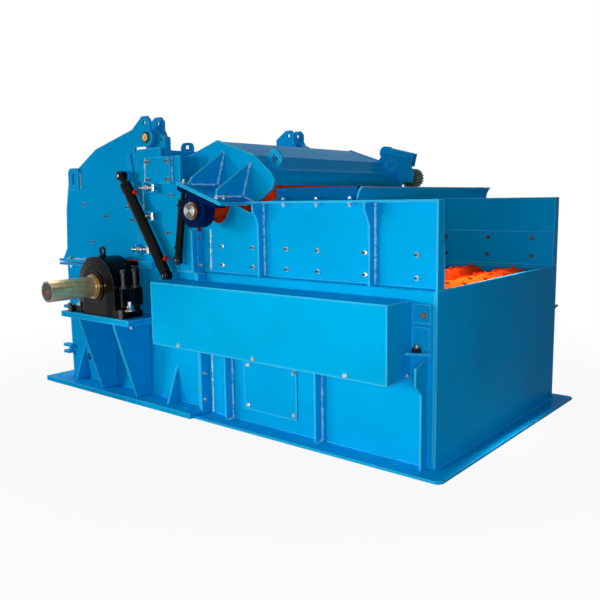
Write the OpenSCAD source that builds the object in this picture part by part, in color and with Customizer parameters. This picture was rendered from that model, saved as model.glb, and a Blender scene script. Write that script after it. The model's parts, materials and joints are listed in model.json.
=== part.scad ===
// Horizontal hammer mill with roller infeed. Millimetres, +Z up, +X towards the infeed end,
// rotor and rolls along Y. The floor is Z = 0 and the middle of the footprint is the origin.

/* [Footprint] */
// Length over both base frames
base_len = 3480; // [3400:10:3600]
// Distance between the outer faces of the two side walls
body_w = 1636; // [1600:2:1700]
// Rotor base frame: thickness
rotor_base_t = 36; // [25:1:50]
// Rotor base frame: width outside the wall
rotor_base_lip = 160; // [140:5:200]
// Infeed base flange: thickness
infeed_base_t = 15; // [12:1:25]
// Infeed base flange: width outside the wall
infeed_base_lip = 133; // [110:1:150]
// Corner cut of the infeed base flange
base_corner = 24; // [10:1:50]
// Bolt holes in the bases: radius
base_hole_r = 13; // [9:0.5:16]
// Station of the joint between rotor section and infeed section
joint_x = -50; // [-80:5:-20]
// Rotor base frame beyond the rear end of the rotor housing
rear_lip = 134; // [110:2:150]
// Infeed base flange beyond the end plate
end_lip = 101; // [80:1:120]

/* [Walls] */
// Rotor side wall thickness
side_t = 20; // [15:1:25]
// Infeed wall thickness
wall_t = 15; // [10:1:20]
// Top of the lower walls and of the end plate
lower_top = 937; // [920:1:960]
// Top of the trough walls
trough_top = 1388; // [1350:2:1420]
// Set-back of the trough wall behind the lower wall
trough_step = 50; // [40:1:60]
// Trough wall thickness
trough_t = 12; // [8:1:16]
// Depth of the wall ribs
rib_depth = 62; // [50:1:75]
// Thickness of the wall ribs
rib_t = 12; // [8:1:16]
// Inspection cover length
cover_len = 426; // [380:2:460]
// Inspection cover height
cover_high = 310; // [260:2:330]
// Inspection cover thickness
cover_t = 8; // [5:1:12]

/* [Rotor] */
// Rotor axis: station along X
rotor_x = -861; // [-880:1:-840]
// Rotor axis: height
rotor_z = 822; // [805:1:830]
// Rotor shaft radius at the bearings
shaft_r = 80; // [75:1:85]
// Radius of the drive ends
shaft_end_r = 70; // [60:1:74]
// Shaft reach outside the wall
shaft_reach = 628; // [560:2:660]
// Length of each drive end
shaft_end_len = 330; // [280:2:350]
// Radius of the hammer tips
hammer_tip_r = 555; // [520:1:570]
// Radius of the rotor discs
disc_r = 400; // [380:1:420]
// Number of rotor discs
disc_n = 8; // [6:1:10]
// Radius of the hammer pins
hammer_pin_r = 26; // [20:1:30]

/* [Bearing blocks] */
// Pedestal plate length
seat_len = 788; // [740:2:820]
// Pedestal plate reach outside the wall
seat_reach = 295; // [280:1:320]
// Pedestal plate thickness
seat_t = 40; // [30:1:50]
// Height of the bearing axis above its seat
bearing_h = 202; // [190:1:215]
// Bearing block body radius
bearing_r = 204; // [195:1:210]
// Bearing block width along the shaft
bearing_w = 212; // [200:2:220]
// Bearing block distance from the wall
bearing_off = 61; // [55:1:70]
// Bearing block foot length
bearing_foot = 610; // [580:2:640]

/* [Hood] */
// Hinge pin: station along X
hinge_x = -573; // [-580:1:-566]
// Hinge pin: height
hinge_z = 1824; // [1815:1:1835]
// Hinge pin radius
hinge_r = 28; // [22:1:32]
// Ear radius round the hinge pin
ear_r = 64; // [56:1:66]
// Hood sheet thickness
hood_t = 20; // [15:1:22]
// Gap between hood and lower housing
hood_gap = 8; // [6:1:12]
// Distance of the inner ear from the outer ear
ear_pitch = 117; // [110:1:130]

/* [Feed arm] */
// Arm pivot: station along X
pivot_x = -443; // [-450:1:-436]
// Arm pivot: height
pivot_z = 1599; // [1590:1:1606]
// Pivot shaft radius
pivot_r = 45; // [40:1:50]
// Set-in of the arm plates from the outer wall face
arm_in = 131; // [120:1:140]
// Arm plate thickness
arm_t = 20; // [15:1:25]
// Slope of the foot plates in degrees
foot_tilt = 19; // [17:0.5:21]
// Foot plate length
foot_len = 406; // [390:2:420]
// Foot plate width
foot_w = 295; // [280:1:305]
// Sheet thickness of the roll cover
cowl_t = 10; // [6:1:12]

/* [Rolls] */
// Feed roll axis: station along X
roll_x = 35; // [25:1:45]
// Feed roll axis: height
roll_z = 1336; // [1326:1:1346]
// Feed roll tip radius
roll_r = 378; // [360:1:380]
// Feed roll shaft radius
roll_shaft_r = 48; // [42:1:54]
// Bed roll tip radius
bed_r = 148; // [140:1:150]
// Bed roll pitch
bed_pitch = 315; // [304:1:325]
// Height of the bed roll axes
bed_z = 777; // [765:1:785]
// Station of the bed roll next to the end plate
bed_x = 1374; // [1360:1:1390]
// Bed roll shaft radius
bed_shaft_r = 45; // [38:1:50]

/* [Cylinders] */
// Distance of the hood cylinders from the wall
hood_cyl_off = 62; // [58:1:70]
// Distance of the arm cylinders from the wall
arm_cyl_off = 37; // [36:1:38]
// Hood cylinder barrel radius
hood_cyl_r = 37; // [33:1:40]
// Arm cylinder barrel radius
arm_cyl_r = 26; // [22:1:26]
// Pin radius of the cylinders
cyl_pin_r = 19; // [15:1:20]

/* [Guard] */
// Guard: left end station
guard_x0 = -309; // [-330:1:-290]
// Guard: right end station
guard_x1 = 1490; // [1470:1:1500]
// Guard: depth outside the wall
guard_d = 226; // [200:2:240]
// Guard: lower edge height
guard_z0 = 477; // [460:1:490]
// Guard: upper edge height
guard_z1 = 884; // [870:1:895]
// Guard sheet thickness
guard_t = 6; // [4:1:8]

/* [Fits] */
// Running clearance on a radius
run_clear = 0.05; // [0.02:0.01:0.1]

/* [Hidden] */
$fn = 64;
half_w = body_w/2;
base_x0 = -base_len/2;
base_x1 = base_len/2;
rear_x = base_x0 + rear_lip;
end_x = base_x1 - end_lip;
// Overlap of pieces that are welded into one solid
weld = 4;
blue = [0.02, 0.50, 0.78];
dark_blue = [0.03, 0.13, 0.36];
black = [0.05, 0.05, 0.06];
steel = [0.62, 0.60, 0.54];
orange = [0.95, 0.30, 0.05];
motor_green = [0.25, 0.34, 0.31];
seat_z = rotor_z - bearing_h;
bearing_y = half_w + bearing_off;
trough_y = half_w - trough_step;
arm_y = half_w - arm_in;
hood_cyl_y = half_w + hood_cyl_off;
arm_cyl_y = half_w + arm_cyl_off;
roll_bearing_y = arm_cyl_y + 23;
roll_bearing_w = 88;
roll_shaft_y = roll_bearing_y + roll_bearing_w + 30;
// Foot plate corner at the pivot end, taken from the bearing seat above the roll axis
foot_drop = 130;
foot_t = 20;
foot_run = 175;
foot_x = roll_x - foot_run*cos(foot_tilt) + foot_drop*sin(foot_tilt);
foot_z = roll_z + foot_run*sin(foot_tilt) + foot_drop*cos(foot_tilt);
// Cylinder pins: lower ends on the walls, upper ends on hood and arm
hood_cyl_low = [-339, 908];
hood_cyl_top = [-777, 1573];
arm_cyl_low = [-247, 1012];
arm_cyl_top = [-170, 1472];
hood_eye_w = 46;
arm_eye_w = 22;
eye_gap = 6;
// Shoulder of the anchor pins, inside the start of the barrel
pin_shoulder = 3;

// Shapes that repeat

// Plate in the XZ plane from Y = y0 to Y = y0 + t
module plate_xz(y0, t) {
  translate([0, y0 + t, 0]) rotate([90, 0, 0]) linear_extrude(t) children();
}
// Plate in the YZ plane from X = x0 to X = x0 + t
module plate_yz(x0, t) {
  translate([x0, 0, 0]) rotate([90, 0, 90]) linear_extrude(t) children();
}
// Round bar along Y
module bar_y(x, z, y0, y1, r) {
  translate([x, y0, z]) rotate([-90, 0, 0]) cylinder(h = y1 - y0, r = r);
}
// Box between two corners
module span(a, b) {
  translate(a) cube(b - a);
}
module far_side() {
  mirror([0, 1, 0]) children();
}
// Sheet that follows a line of points, drawn in the plane
module bent_sheet(pts, t) {
  for (i = [0:len(pts) - 2]) {
    d = pts[i + 1] - pts[i];
    n = [-d[1], d[0]]*t/2/norm(d);
    polygon([pts[i] - n, pts[i + 1] - n, pts[i + 1] + n, pts[i] + n]);
  }
  for (i = [1:len(pts) - 2]) translate(pts[i]) circle(d = t);
}
// Lifting eye: plate with a rounded head and a slot
module lug_face(w, h, slot_w, slot_h) {
  difference() {
    union() {
      translate([-w/2, 0]) square([w, h - w/3]);
      translate([-w/2 + w/3, h - w/3]) circle(r = w/3);
      translate([w/2 - w/3, h - w/3]) circle(r = w/3);
      translate([-w/2 + w/3, h - w/3]) square([w/3, w/3]);
    }
    translate([-slot_w/2, h/2 - slot_h/2]) square([slot_w, slot_h]);
  }
}

// Bases

module rotor_base() color(blue) {
  y = half_w + rotor_base_lip;
  difference() {
    span([base_x0, -y, 0], [joint_x, y, rotor_base_t]);
    span([rear_x + 60, -half_w + 60, -1], [joint_x - 90, half_w - 60, rotor_base_t + 1]);
    for (x = [base_x0 + 90, rotor_x - 310, rotor_x + 310, joint_x - 110], s = [-1, 1])
      translate([x, s*(y - 55), -1]) cylinder(h = rotor_base_t + 2, r = base_hole_r);
  }
}
module infeed_base() color(blue) {
  y = half_w + infeed_base_lip;
  difference() {
    linear_extrude(infeed_base_t) polygon([[joint_x, -y], [base_x1 - base_corner, -y],
      [base_x1, -y + base_corner], [base_x1, y - base_corner], [base_x1 - base_corner, y], [joint_x, y]]);
    span([joint_x + 90, -half_w + 60, -1], [end_x - 75, half_w - 60, infeed_base_t + 1]);
    for (x = [joint_x + 110, (joint_x + end_x)/2, end_x - 204], s = [-1, 1])
      translate([x, s*(y - 66), -1]) cylinder(h = infeed_base_t + 2, r = base_hole_r);
    for (s = [-1, 1]) translate([end_x + end_lip*0.6, s*480, -1]) cylinder(h = infeed_base_t + 2, r = base_hole_r);
  }
}

// Rotor housing

joint_flange_t = 15;
guard_gap = 8;
parting_t = 20;
parting_w = 32;
module side_wall() {
  difference() {
    union() {
      span([rear_x, -half_w, rotor_base_t], [joint_x - joint_flange_t, -half_w + side_t, lower_top]);
      // Flange of the bolted joint to the infeed section
      span([joint_x - joint_flange_t - weld, -half_w, rotor_base_t], [joint_x, -half_w + side_t, lower_top]);
      span([joint_x - joint_flange_t, -half_w - rib_depth, rotor_base_t],
        [joint_x, -half_w + weld, guard_z0 - guard_gap]);
      span([joint_x - joint_flange_t, -half_w - rib_depth, guard_z1 + guard_gap],
        [joint_x, -half_w + weld, lower_top]);
      // Parting flange under the hood, with an ear past the rear edge
      span([rear_x - 60, -half_w - parting_w, lower_top - parting_t],
        [rotor_x - 260, -half_w + weld, lower_top]);
      span([rear_x - 60, -half_w, lower_top - parting_t], [rear_x + weld, -half_w + side_t, lower_top]);
      span([rear_x - 40, -half_w - 30, 575], [rear_x + weld, -half_w + side_t, 600]);
      span([rear_x - 55, -half_w - 45, 268], [rear_x + 40, -half_w + weld, 290]);
      span([rear_x - 55, -half_w - 45, 215], [rear_x + 20, -half_w + weld, 237]);
      span([rear_x - 30, -half_w - 12, 237 - weld], [rear_x + weld, -half_w + side_t, 268 + weld]);
      // Corner gussets on the base
      for (x = [rotor_x - 580, rotor_x + 510])
        plate_yz(x, rib_t + 4) polygon([[-half_w + weld, rotor_base_t], [-half_w - 95, rotor_base_t],
          [-half_w, rotor_base_t + 250], [-half_w + weld, rotor_base_t + 250]]);
      // Anchor pin of the hood cylinder
      bar_y(hood_cyl_low[0], hood_cyl_low[1], -hood_cyl_y - hood_eye_w/2 - 8, -half_w + weld, cyl_pin_r);
      bar_y(hood_cyl_low[0], hood_cyl_low[1], -hood_cyl_y + hood_eye_w/2 + eye_gap, -half_w + weld,
        cyl_pin_r + pin_shoulder);
    }
    bar_y(rotor_x, rotor_z, -half_w - 1, -half_w + side_t + 1, shaft_r + 14);
    // Inspection bore beside the pedestal
    bar_y(rear_x + 225, 209, -half_w - 1, -half_w + side_t + 1, 30);
  }
}
module near_side_wall() color(blue) side_wall();
module far_side_wall() color(blue) far_side() side_wall();
module rear_wall() color(blue)
  span([rear_x, -half_w + side_t, rotor_base_t], [rear_x + side_t, half_w - side_t, lower_top]);

gusset_t = 25;
module pedestal() {
  span([rotor_x - seat_len/2, -half_w - seat_reach, seat_z - seat_t],
    [rotor_x + seat_len/2, -half_w, seat_z]);
  for (x = [rotor_x - 205, rotor_x + 199])
    plate_yz(x - gusset_t/2, gusset_t) polygon([[-half_w, rotor_base_t], [-half_w - 112, rotor_base_t],
      [-half_w - 226, 402], [-half_w - seat_reach + 16, seat_z - seat_t],
      [-half_w - seat_reach + 16, seat_z - seat_t + weld], [-half_w, seat_z - seat_t + weld]]);
}
module near_pedestal() color(blue) pedestal();
module far_pedestal() color(blue) far_side() pedestal();

// Split pillow block: foot, round body with sloped rims, shoulders for the cap bolts, end rings, lifting eye
bearing_foot_h = 46;
bearing_foot_w = 158;
bearing_rim = 14;
bearing_nose = 66;
shoulder_h = 124;
shoulder_w = 78;
shoulder_x = 256;
web_w = 42;
module bearing() {
  y1 = -bearing_y;
  y0 = y1 - bearing_w;
  face = bearing_r - bearing_nose;
  difference() {
    union() {
      span([rotor_x - bearing_foot/2, y0 + 10, seat_z],
        [rotor_x + bearing_foot/2, y0 + 10 + bearing_foot_w, seat_z + bearing_foot_h]);
      translate([rotor_x, y0, rotor_z]) rotate([-90, 0, 0]) rotate_extrude() polygon([[0, 0], [face, 0],
        [bearing_r, bearing_rim], [bearing_r, bearing_w - bearing_rim], [face, bearing_w], [0, bearing_w]]);
      translate([rotor_x, 0, seat_z]) linear_extrude(bearing_h) polygon([[-face, y0], [face, y0],
        [bearing_r, y0 + bearing_rim], [bearing_r, y1 - bearing_rim], [face, y1], [-face, y1],
        [-bearing_r, y1 - bearing_rim], [-bearing_r, y0 + bearing_rim]]);
      bar_y(rotor_x, rotor_z, y0 - 8, y1 + 14, shaft_r + 30);
      // Shoulders under the split plane on webs
      for (s = [-1, 1], y = [y0 + 40, y1 - shoulder_w]) {
        translate([rotor_x + s*(shoulder_x - 50) - 50, y, rotor_z - 8 - shoulder_h])
          cube([100, shoulder_w, shoulder_h]);
        translate([rotor_x + s*(shoulder_x - 54) - 42, y + (shoulder_w - web_w)/2, seat_z])
          cube([84, web_w, bearing_h - shoulder_h]);
      }
      translate([rotor_x, y0 + 84, rotor_z + bearing_r - 6]) cylinder(h = 16, r = 24);
      translate([rotor_x, y0 + 84, rotor_z + bearing_r + 34]) rotate([90, 0, 0]) rotate_extrude()
        translate([26, 0]) circle(r = 8);
    }
    bar_y(rotor_x, rotor_z, y0 - 60, y1 + 60, shaft_r + run_clear);
    // Flat underside on the seat
    span([rotor_x - bearing_foot, y0 - 1, seat_z - bearing_r], [rotor_x + bearing_foot, y1 + 1, seat_z]);
    // Groove on the split plane
    for (s = [-1, 1]) translate([rotor_x + s*bearing_r - 6, y0 - 1, rotor_z - 3]) cube([12, bearing_w + 2, 6]);
  }
}
module near_bearing() color(black) bearing();
module far_bearing() color(black) far_side() bearing();

// Posts between hood and infeed, with the bearing cover of the feed arm
post_x0 = hinge_x - 119;
post_x1 = -111;
post_top = hinge_z - ear_r - 10;
post_round = 40;
lug_y = half_w - 42;
lug_t = 50;
// Lifting hole of the hinge lug
lug_hole = [pivot_x - 22, hinge_z - 18];
lug_hole_r = 14;
module post() {
  difference() {
    union() {
      plate_xz(-half_w, side_t) difference() {
        polygon([[post_x0, lower_top], [post_x1, lower_top], [post_x1, trough_top], [pivot_x + 202, 1500],
          [pivot_x + 202, 1690], [pivot_x + 13, 1690], [pivot_x + 13, post_top], [post_x0 + post_round, post_top],
          [post_x0, post_top - post_round]]);
      }
      plate_xz(-half_w, side_t) translate([post_x0 + post_round, post_top - post_round]) circle(r = post_round);
      // Bearing cover of the arm pivot
      span([pivot_x - 126, -half_w - 20, pivot_z - 86], [pivot_x + 126, -half_w + weld, pivot_z + 90]);
      // Bearing boss of the arm pivot on the inside
      bar_y(pivot_x, pivot_z, -half_w + weld, -half_w + arm_in - 12, pivot_r + 30);
      // Hinge lug between the two ears of the hood
      plate_xz(-lug_y, lug_t) union() {
        polygon([[post_x0 + 80, 1640], [pivot_x + 15, 1640], [pivot_x + 15, hinge_z - 6],
          [hinge_x + 40, hinge_z + 44], [hinge_x - 40, hinge_z + 44], [post_x0 + 80, 1760]]);
        translate([hinge_x, hinge_z]) circle(r = ear_r - 6);
      }
      span([post_x0 + 80, -half_w + side_t - weld, 1640], [pivot_x - 82, -lug_y + weld, post_top]);
      bar_y(hinge_x, hinge_z, -half_w - 8, -half_w + ear_pitch + hood_t + 8, hinge_r);
      // Standing flange towards the trough wall and the foot column
      span([post_x1 - rib_t, -half_w - rib_depth/2, lower_top], [post_x1, -half_w + weld, 1210]);
      span([post_x0 + 20, -half_w - 28, lower_top], [post_x0 + 150, -half_w + weld, lower_top + 52]);
      bar_y(arm_cyl_low[0], arm_cyl_low[1], -arm_cyl_y - arm_eye_w/2 - 8, -half_w + weld, cyl_pin_r);
      bar_y(arm_cyl_low[0], arm_cyl_low[1], -arm_cyl_y + arm_eye_w/2 + eye_gap, -half_w + weld,
        cyl_pin_r + pin_shoulder);
    }
    bar_y(pivot_x, pivot_z, -half_w - 2, -half_w + arm_in, pivot_r + run_clear);
    bar_y(lug_hole[0], lug_hole[1], -lug_y - 1, -lug_y + lug_t + 1, lug_hole_r);
  }
}
module post_cap() {
  bar_y(pivot_x, pivot_z, -half_w - 20, -half_w - 6, pivot_r + 12);
}
module near_post() color(blue) union() {
  post();
  post_cap();
}
module far_post() color(blue) far_side() union() {
  post();
  post_cap();
}

beam_x0 = -610;
beam_x1 = -497;
beam_z0 = 1660;
module portal_beam() color(blue) {
  y = lug_y - lug_t;
  span([beam_x0, -y, beam_z0], [beam_x1, y, post_top - 8]);
  for (s = [-1, 1]) translate([(beam_x0 + beam_x1)/2 + 10, s*(half_w - 342) + 10, post_top - 8])
    rotate([90, 0, 0]) linear_extrude(20) lug_face(120, 62, 50, 26);
}

// Infeed section

lower_ribs = [189, 910];
ledge_t = 15;
module lower_wall() {
  x0 = joint_x + joint_flange_t;
  difference() {
    union() {
      span([joint_x, -half_w, infeed_base_t], [x0 + weld, -half_w + wall_t, lower_top]);
      span([joint_x, -half_w - rib_depth, infeed_base_t], [x0, -half_w + weld, guard_z0 - guard_gap]);
      span([joint_x, -half_w - rib_depth, guard_z1 + guard_gap], [x0, -half_w + weld, lower_top]);
      span([x0, -half_w, infeed_base_t], [end_x - wall_t, -half_w + wall_t, lower_top - ledge_t]);
      // Ledge under the trough wall, rounded over at the outer edge
      span([x0, -half_w + ledge_t, lower_top - ledge_t - weld], [end_x - wall_t, -trough_y + trough_t, lower_top]);
      translate([x0, -half_w + ledge_t, lower_top - ledge_t]) rotate([0, 90, 0]) intersection() {
        cylinder(h = end_x - wall_t - x0, r = ledge_t);
        translate([-ledge_t, -ledge_t, 0]) cube([ledge_t, ledge_t, end_x - wall_t - x0]);
      }
      for (x = lower_ribs) plate_yz(x - rib_t, rib_t) polygon([[-half_w + weld, infeed_base_t],
        [-half_w - rib_depth, infeed_base_t], [-half_w - rib_depth, guard_z0 - 40],
        [-half_w, guard_z0 - 10], [-half_w + weld, guard_z0 - 10]]);
      // End rib, spreading under the guard
      plate_yz(guard_x1 + 88, rib_t) polygon([[-half_w + weld, infeed_base_t],
        [-half_w - rib_depth, infeed_base_t], [-half_w - rib_depth, 415], [-half_w - 118, 470],
        [-half_w - 118, 560], [-half_w, 600], [-half_w + weld, 600]]);
    }
    for (i = [0:3]) bar_y(bed_x - i*bed_pitch, bed_z, -half_w - 1, -half_w + wall_t + 1, bed_shaft_r + run_clear);
  }
}
module near_lower_wall() color(blue) lower_wall();
module far_lower_wall() color(blue) far_side() lower_wall();

trough_ribs = [442, 1237];
slot_r = roll_shaft_r + 42;
slot_shift = [14, 8];
// Direction in which the roll shaft leaves the wall when the arm lifts
slot_turn = 90 + atan2(roll_z - pivot_z, roll_x - pivot_x);
notch_x = foot_x + foot_len*cos(foot_tilt) + 45;
notch_z = foot_z - foot_len*sin(foot_tilt) - 66;
module trough_wall() {
  y0 = -trough_y;
  difference() {
    union() {
      plate_xz(y0, trough_t) polygon([[post_x1, lower_top], [end_x, lower_top], [end_x, trough_top],
        [notch_x, trough_top], [notch_x, notch_z], [post_x1, notch_z + (notch_x - post_x1)*tan(foot_tilt)]]);
      span([notch_x, -half_w, trough_top - trough_t], [end_x, y0 + weld, trough_top]);
      span([end_x - trough_t, -half_w, lower_top], [end_x, y0 + weld, trough_top - trough_t + weld]);
      span([post_x1, -half_w, lower_top], [post_x1 + rib_t, y0 + weld, 1200]);
      for (x = trough_ribs) plate_yz(x - rib_t, rib_t) polygon([[y0 + weld, lower_top], [-half_w, lower_top],
        [-half_w, trough_top - 130], [-half_w - 45, trough_top - 50], [-half_w - 45, trough_top - trough_t],
        [-half_w, trough_top - trough_t], [-half_w, trough_top - trough_t + weld],
        [y0 + weld, trough_top - trough_t + weld]]);
    }
    translate([roll_x + slot_shift[0], y0 - 1, roll_z + slot_shift[1]]) {
      rotate([-90, 0, 0]) cylinder(h = trough_t + 2, r = slot_r);
      rotate([0, -slot_turn, 0]) translate([0, 0, -slot_r]) cube([320, trough_t + 2, 2*slot_r]);
    }
  }
}
module near_trough_wall() color(blue) trough_wall();
module far_trough_wall() color(blue) far_side() trough_wall();
module end_plate() color(blue)
  span([end_x - wall_t, -half_w, infeed_base_t], [end_x, half_w, lower_top]);
bed_floor_z = 560;
module bed_floor() color(blue)
  span([joint_x + joint_flange_t, -half_w + wall_t, bed_floor_z], [end_x - wall_t, half_w - wall_t, bed_floor_z + 12]);
liner_top = 1164;
liner_t = 10;
liner_bolt_x = [end_x - 148, end_x - 465, end_x - 782];
liner_bolt_z = [lower_top + 60, lower_top + 178];
liner_bolt_r = 10;
module liner() {
  y = -trough_y + trough_t;
  difference() {
    span([notch_x, y, lower_top], [end_x, y + liner_t, liner_top]);
    for (x = liner_bolt_x, z = liner_bolt_z) bar_y(x, z, y - 1, y + liner_t + 1, liner_bolt_r);
  }
}
module trough_liners() color(blue) {
  liner();
  far_side() liner();
}
module chain_guard() color(blue) difference() {
  span([guard_x0, -half_w - guard_d, guard_z0], [guard_x1, -half_w, guard_z1]);
  span([guard_x0 + guard_t, -half_w - guard_d + guard_t, guard_z0 + guard_t],
    [guard_x1 - guard_t, -half_w + 1, guard_z1 - guard_t]);
}
shelf_x1 = 1610;
shelf_w = 66;
module takeup_bracket() color(blue) {
  span([guard_x1 + 12, -half_w - 10, 768], [shelf_x1, -half_w, 868]);
  span([guard_x1 + 12, -half_w - 8, 640], [shelf_x1 - 8, -half_w, 752]);
  translate([0, 0, 608]) linear_extrude(14) polygon([[guard_x1 + 4, -half_w], [guard_x1 + 4, -half_w - shelf_w],
    [shelf_x1, -half_w - 10], [shelf_x1, -half_w]]);
}
module inspection_cover() color(blue)
  span([513 - cover_len/2, -half_w - cover_t, 100], [513 + cover_len/2, -half_w, 100 + cover_high]);

flap_x = 1130;
flap_r = 105;
module deflector_flap() color(blue) {
  y = trough_y + 18;
  translate([flap_x + flap_r, y, trough_top]) rotate([90, 0, 0]) linear_extrude(2*y) intersection() {
    difference() {
      circle(r = flap_r);
      circle(r = flap_r - 10);
    }
    polygon([[-flap_r - 1, 0], [0, 0], [-30, 72], [-flap_r - 1, 72]]);
  }
}
strip_x0 = 545;
module edge_strip() {
  y = -trough_y;
  span([strip_x0, y + 2, trough_top], [flap_x - 8, y + 12, trough_top + 62]);
  span([strip_x0, y - 44, trough_top], [flap_x - 8, y + 2, trough_top + 8]);
}
module edge_strips() color(blue) {
  edge_strip();
  far_side() edge_strip();
}

// Hood

hood_z0 = lower_top + hood_gap;
hood_x1 = post_x0 - 8;
hood_run = hinge_x - rear_x;
hood_line = [[rear_x, hood_z0], [rear_x + 0.029*hood_run, 1340], [rear_x + 0.082*hood_run, 1571],
  [rear_x + 0.21*hood_run, 1648], [rear_x + 0.436*hood_run, 1776], [rear_x + 0.855*hood_run, 1885]];
module hood_side() {
  difference() {
    union() {
      plate_xz(-half_w, hood_t) union() {
        polygon(concat(hood_line, [[hinge_x - 58, hinge_z + 125], [hinge_x - 42, hinge_z + 142],
          [hinge_x + 12, hinge_z + 142], [hinge_x + 42, hinge_z + 112], [hinge_x + 42, hinge_z],
          [hinge_x, hinge_z - ear_r + 5], [hood_x1, hinge_z - ear_r + 5], [hood_x1, hood_z0]]));
        translate([hinge_x, hinge_z]) circle(r = ear_r);
      }
      // Flange on the parting line
      span([rear_x - 60, -half_w - parting_w, hood_z0], [rotor_x - 260, -half_w + weld, hood_z0 + parting_t]);
      span([rear_x - 60, -half_w, hood_z0], [rear_x + 10, -half_w + hood_t, hood_z0 + parting_t]);
      plate_xz(-half_w, hood_t) polygon([[rear_x - 54, hood_z0 + parting_t - weld], [rear_x + 20, hood_z0 + parting_t - weld],
        [rear_x + 20, hood_z0 + 96], [rear_x + 6, hood_z0 + 96]]);
      // Lifting lug at the rear edge and the small stay lug
      translate([rear_x + 178, -half_w + weld, 1492]) rotate([90, 0, 0]) linear_extrude(22 + weld)
        lug_face(128, 160, 36, 86);
      plate_xz(-half_w - 14, 14 + weld) polygon([[hood_x1 - 82, 1700], [hood_x1 - 44, 1722], [hood_x1 - 22, 1600],
        [hood_x1 - 38, 1590]]);
      // Seat for the cylinder eye
      bar_y(hood_cyl_top[0], hood_cyl_top[1], -hood_cyl_y + hood_eye_w/2 + eye_gap, -half_w + weld, 34);
    }
    bar_y(hinge_x, hinge_z, -half_w - 1, -half_w + hood_t + 1, hinge_r + run_clear);
    bar_y(hinge_x - 16, hinge_z + 100, -half_w - 1, -half_w + hood_t + 1, 16);
  }
}
module hood_near_side() color(blue) hood_side();
module hood_far_side() color(blue) far_side() hood_side();
hood_sheet_t = 12;
// Height of the hood sheet at its hinge end
hood_sheet_z = hinge_z - 84;
// Gap between the hood sheet and the posts
post_gap = 6;
module inner_ear() {
  y0 = -half_w + ear_pitch;
  difference() {
    plate_xz(y0, hood_t) union() {
      polygon([[hinge_x - 150, hinge_z + 72], [hinge_x - 42, hinge_z + 142],
        [hinge_x + 12, hinge_z + 142], [hinge_x + 42, hinge_z + 112], [hinge_x + 42, hinge_z],
        [hinge_x, hinge_z - ear_r + 5], [hinge_x - 70, hinge_z - ear_r + 5], [hinge_x - 90, hood_sheet_z],
        [hinge_x - 150, hood_sheet_z]]);
      translate([hinge_x, hinge_z]) circle(r = ear_r);
    }
    bar_y(hinge_x, hinge_z, y0 - 1, y0 + hood_t + 1, hinge_r + run_clear);
    bar_y(hinge_x - 16, hinge_z + 100, y0 - 1, y0 + hood_t + 1, 16);
  }
}
module hood_top() color(blue) {
  y = half_w - hood_t;
  in = hood_sheet_t/2 + 4;
  difference() {
    translate([0, y, 0]) rotate([90, 0, 0]) linear_extrude(2*y) bent_sheet([hood_line[0] + [in, 0],
      hood_line[1] + [in, 0], hood_line[2] + [in, -in], hood_line[3] + [in, -in], hood_line[4] + [0, -in - 16],
      [hinge_x - 88, hood_sheet_z]], hood_sheet_t);
    // Corners cut clear of the posts
    for (s = [-1, 1]) translate([hood_x1, s*half_w - side_t - post_gap, hood_sheet_z - 100])
      cube([200, 2*(side_t + post_gap), 200]);
  }
  inner_ear();
  far_side() inner_ear();
}

// Rotor

hammer_circle = 330;
hammer_w = 34;
module rotor_shaft() color(steel) {
  y = half_w + shaft_reach;
  difference() {
    union() {
      bar_y(rotor_x, rotor_z, -y + shaft_end_len, y - shaft_end_len, shaft_r);
      bar_y(rotor_x, rotor_z, -y, y, shaft_end_r);
      bar_y(rotor_x, rotor_z, -half_w + 60, half_w - 60, shaft_r + 40);
    }
    for (s = [-1, 1]) translate([rotor_x, s*y, rotor_z]) rotate([90, 0, 0]) cylinder(h = 60, r = 16, center = true);
  }
}
module rotor_discs() color([0.35, 0.35, 0.36]) {
  span_y = body_w - 300;
  gap = span_y/(disc_n - 1);
  difference() {
    union() {
      for (i = [0:disc_n - 1]) bar_y(rotor_x, rotor_z, -span_y/2 + i*gap - 15, -span_y/2 + i*gap + 15, disc_r);
      for (a = [45:90:315]) bar_y(rotor_x + hammer_circle*cos(a), rotor_z + hammer_circle*sin(a),
        -span_y/2 - 30, span_y/2 + 30, hammer_pin_r);
      // Hammers between the discs, swung out
      for (i = [0:disc_n - 2], a = [45 + 90*(i%2):180:315])
        translate([rotor_x, -span_y/2 + (i + 0.5)*gap, rotor_z]) rotate([0, -a, 0])
          translate([hammer_circle - 60, -hammer_w/2, -45]) cube([hammer_tip_r - hammer_circle + 60, hammer_w, 90]);
    }
    bar_y(rotor_x, rotor_z, -half_w, half_w, shaft_r + 40);
  }
}

// Feed arm

module foot_frame() {
  translate([foot_x, 0, foot_z]) rotate([0, foot_tilt, 0]) children();
}
// Point on the underside of the foot plate, at a run along it
function foot_at(run) = [foot_x + run*cos(foot_tilt) - foot_t*sin(foot_tilt),
  foot_z - run*sin(foot_tilt) - foot_t*cos(foot_tilt)];
arm_pts = [[pivot_x, pivot_z + 78], [pivot_x + 182, pivot_z + 105], [pivot_x + 419, pivot_z + 180],
  [pivot_x + 496, pivot_z + 153], [pivot_x + 737, pivot_z + 73], [pivot_x + 870, pivot_z - 33],
  [pivot_x + 904, pivot_z - 82], [pivot_x + 882, pivot_z - 138]];
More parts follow.
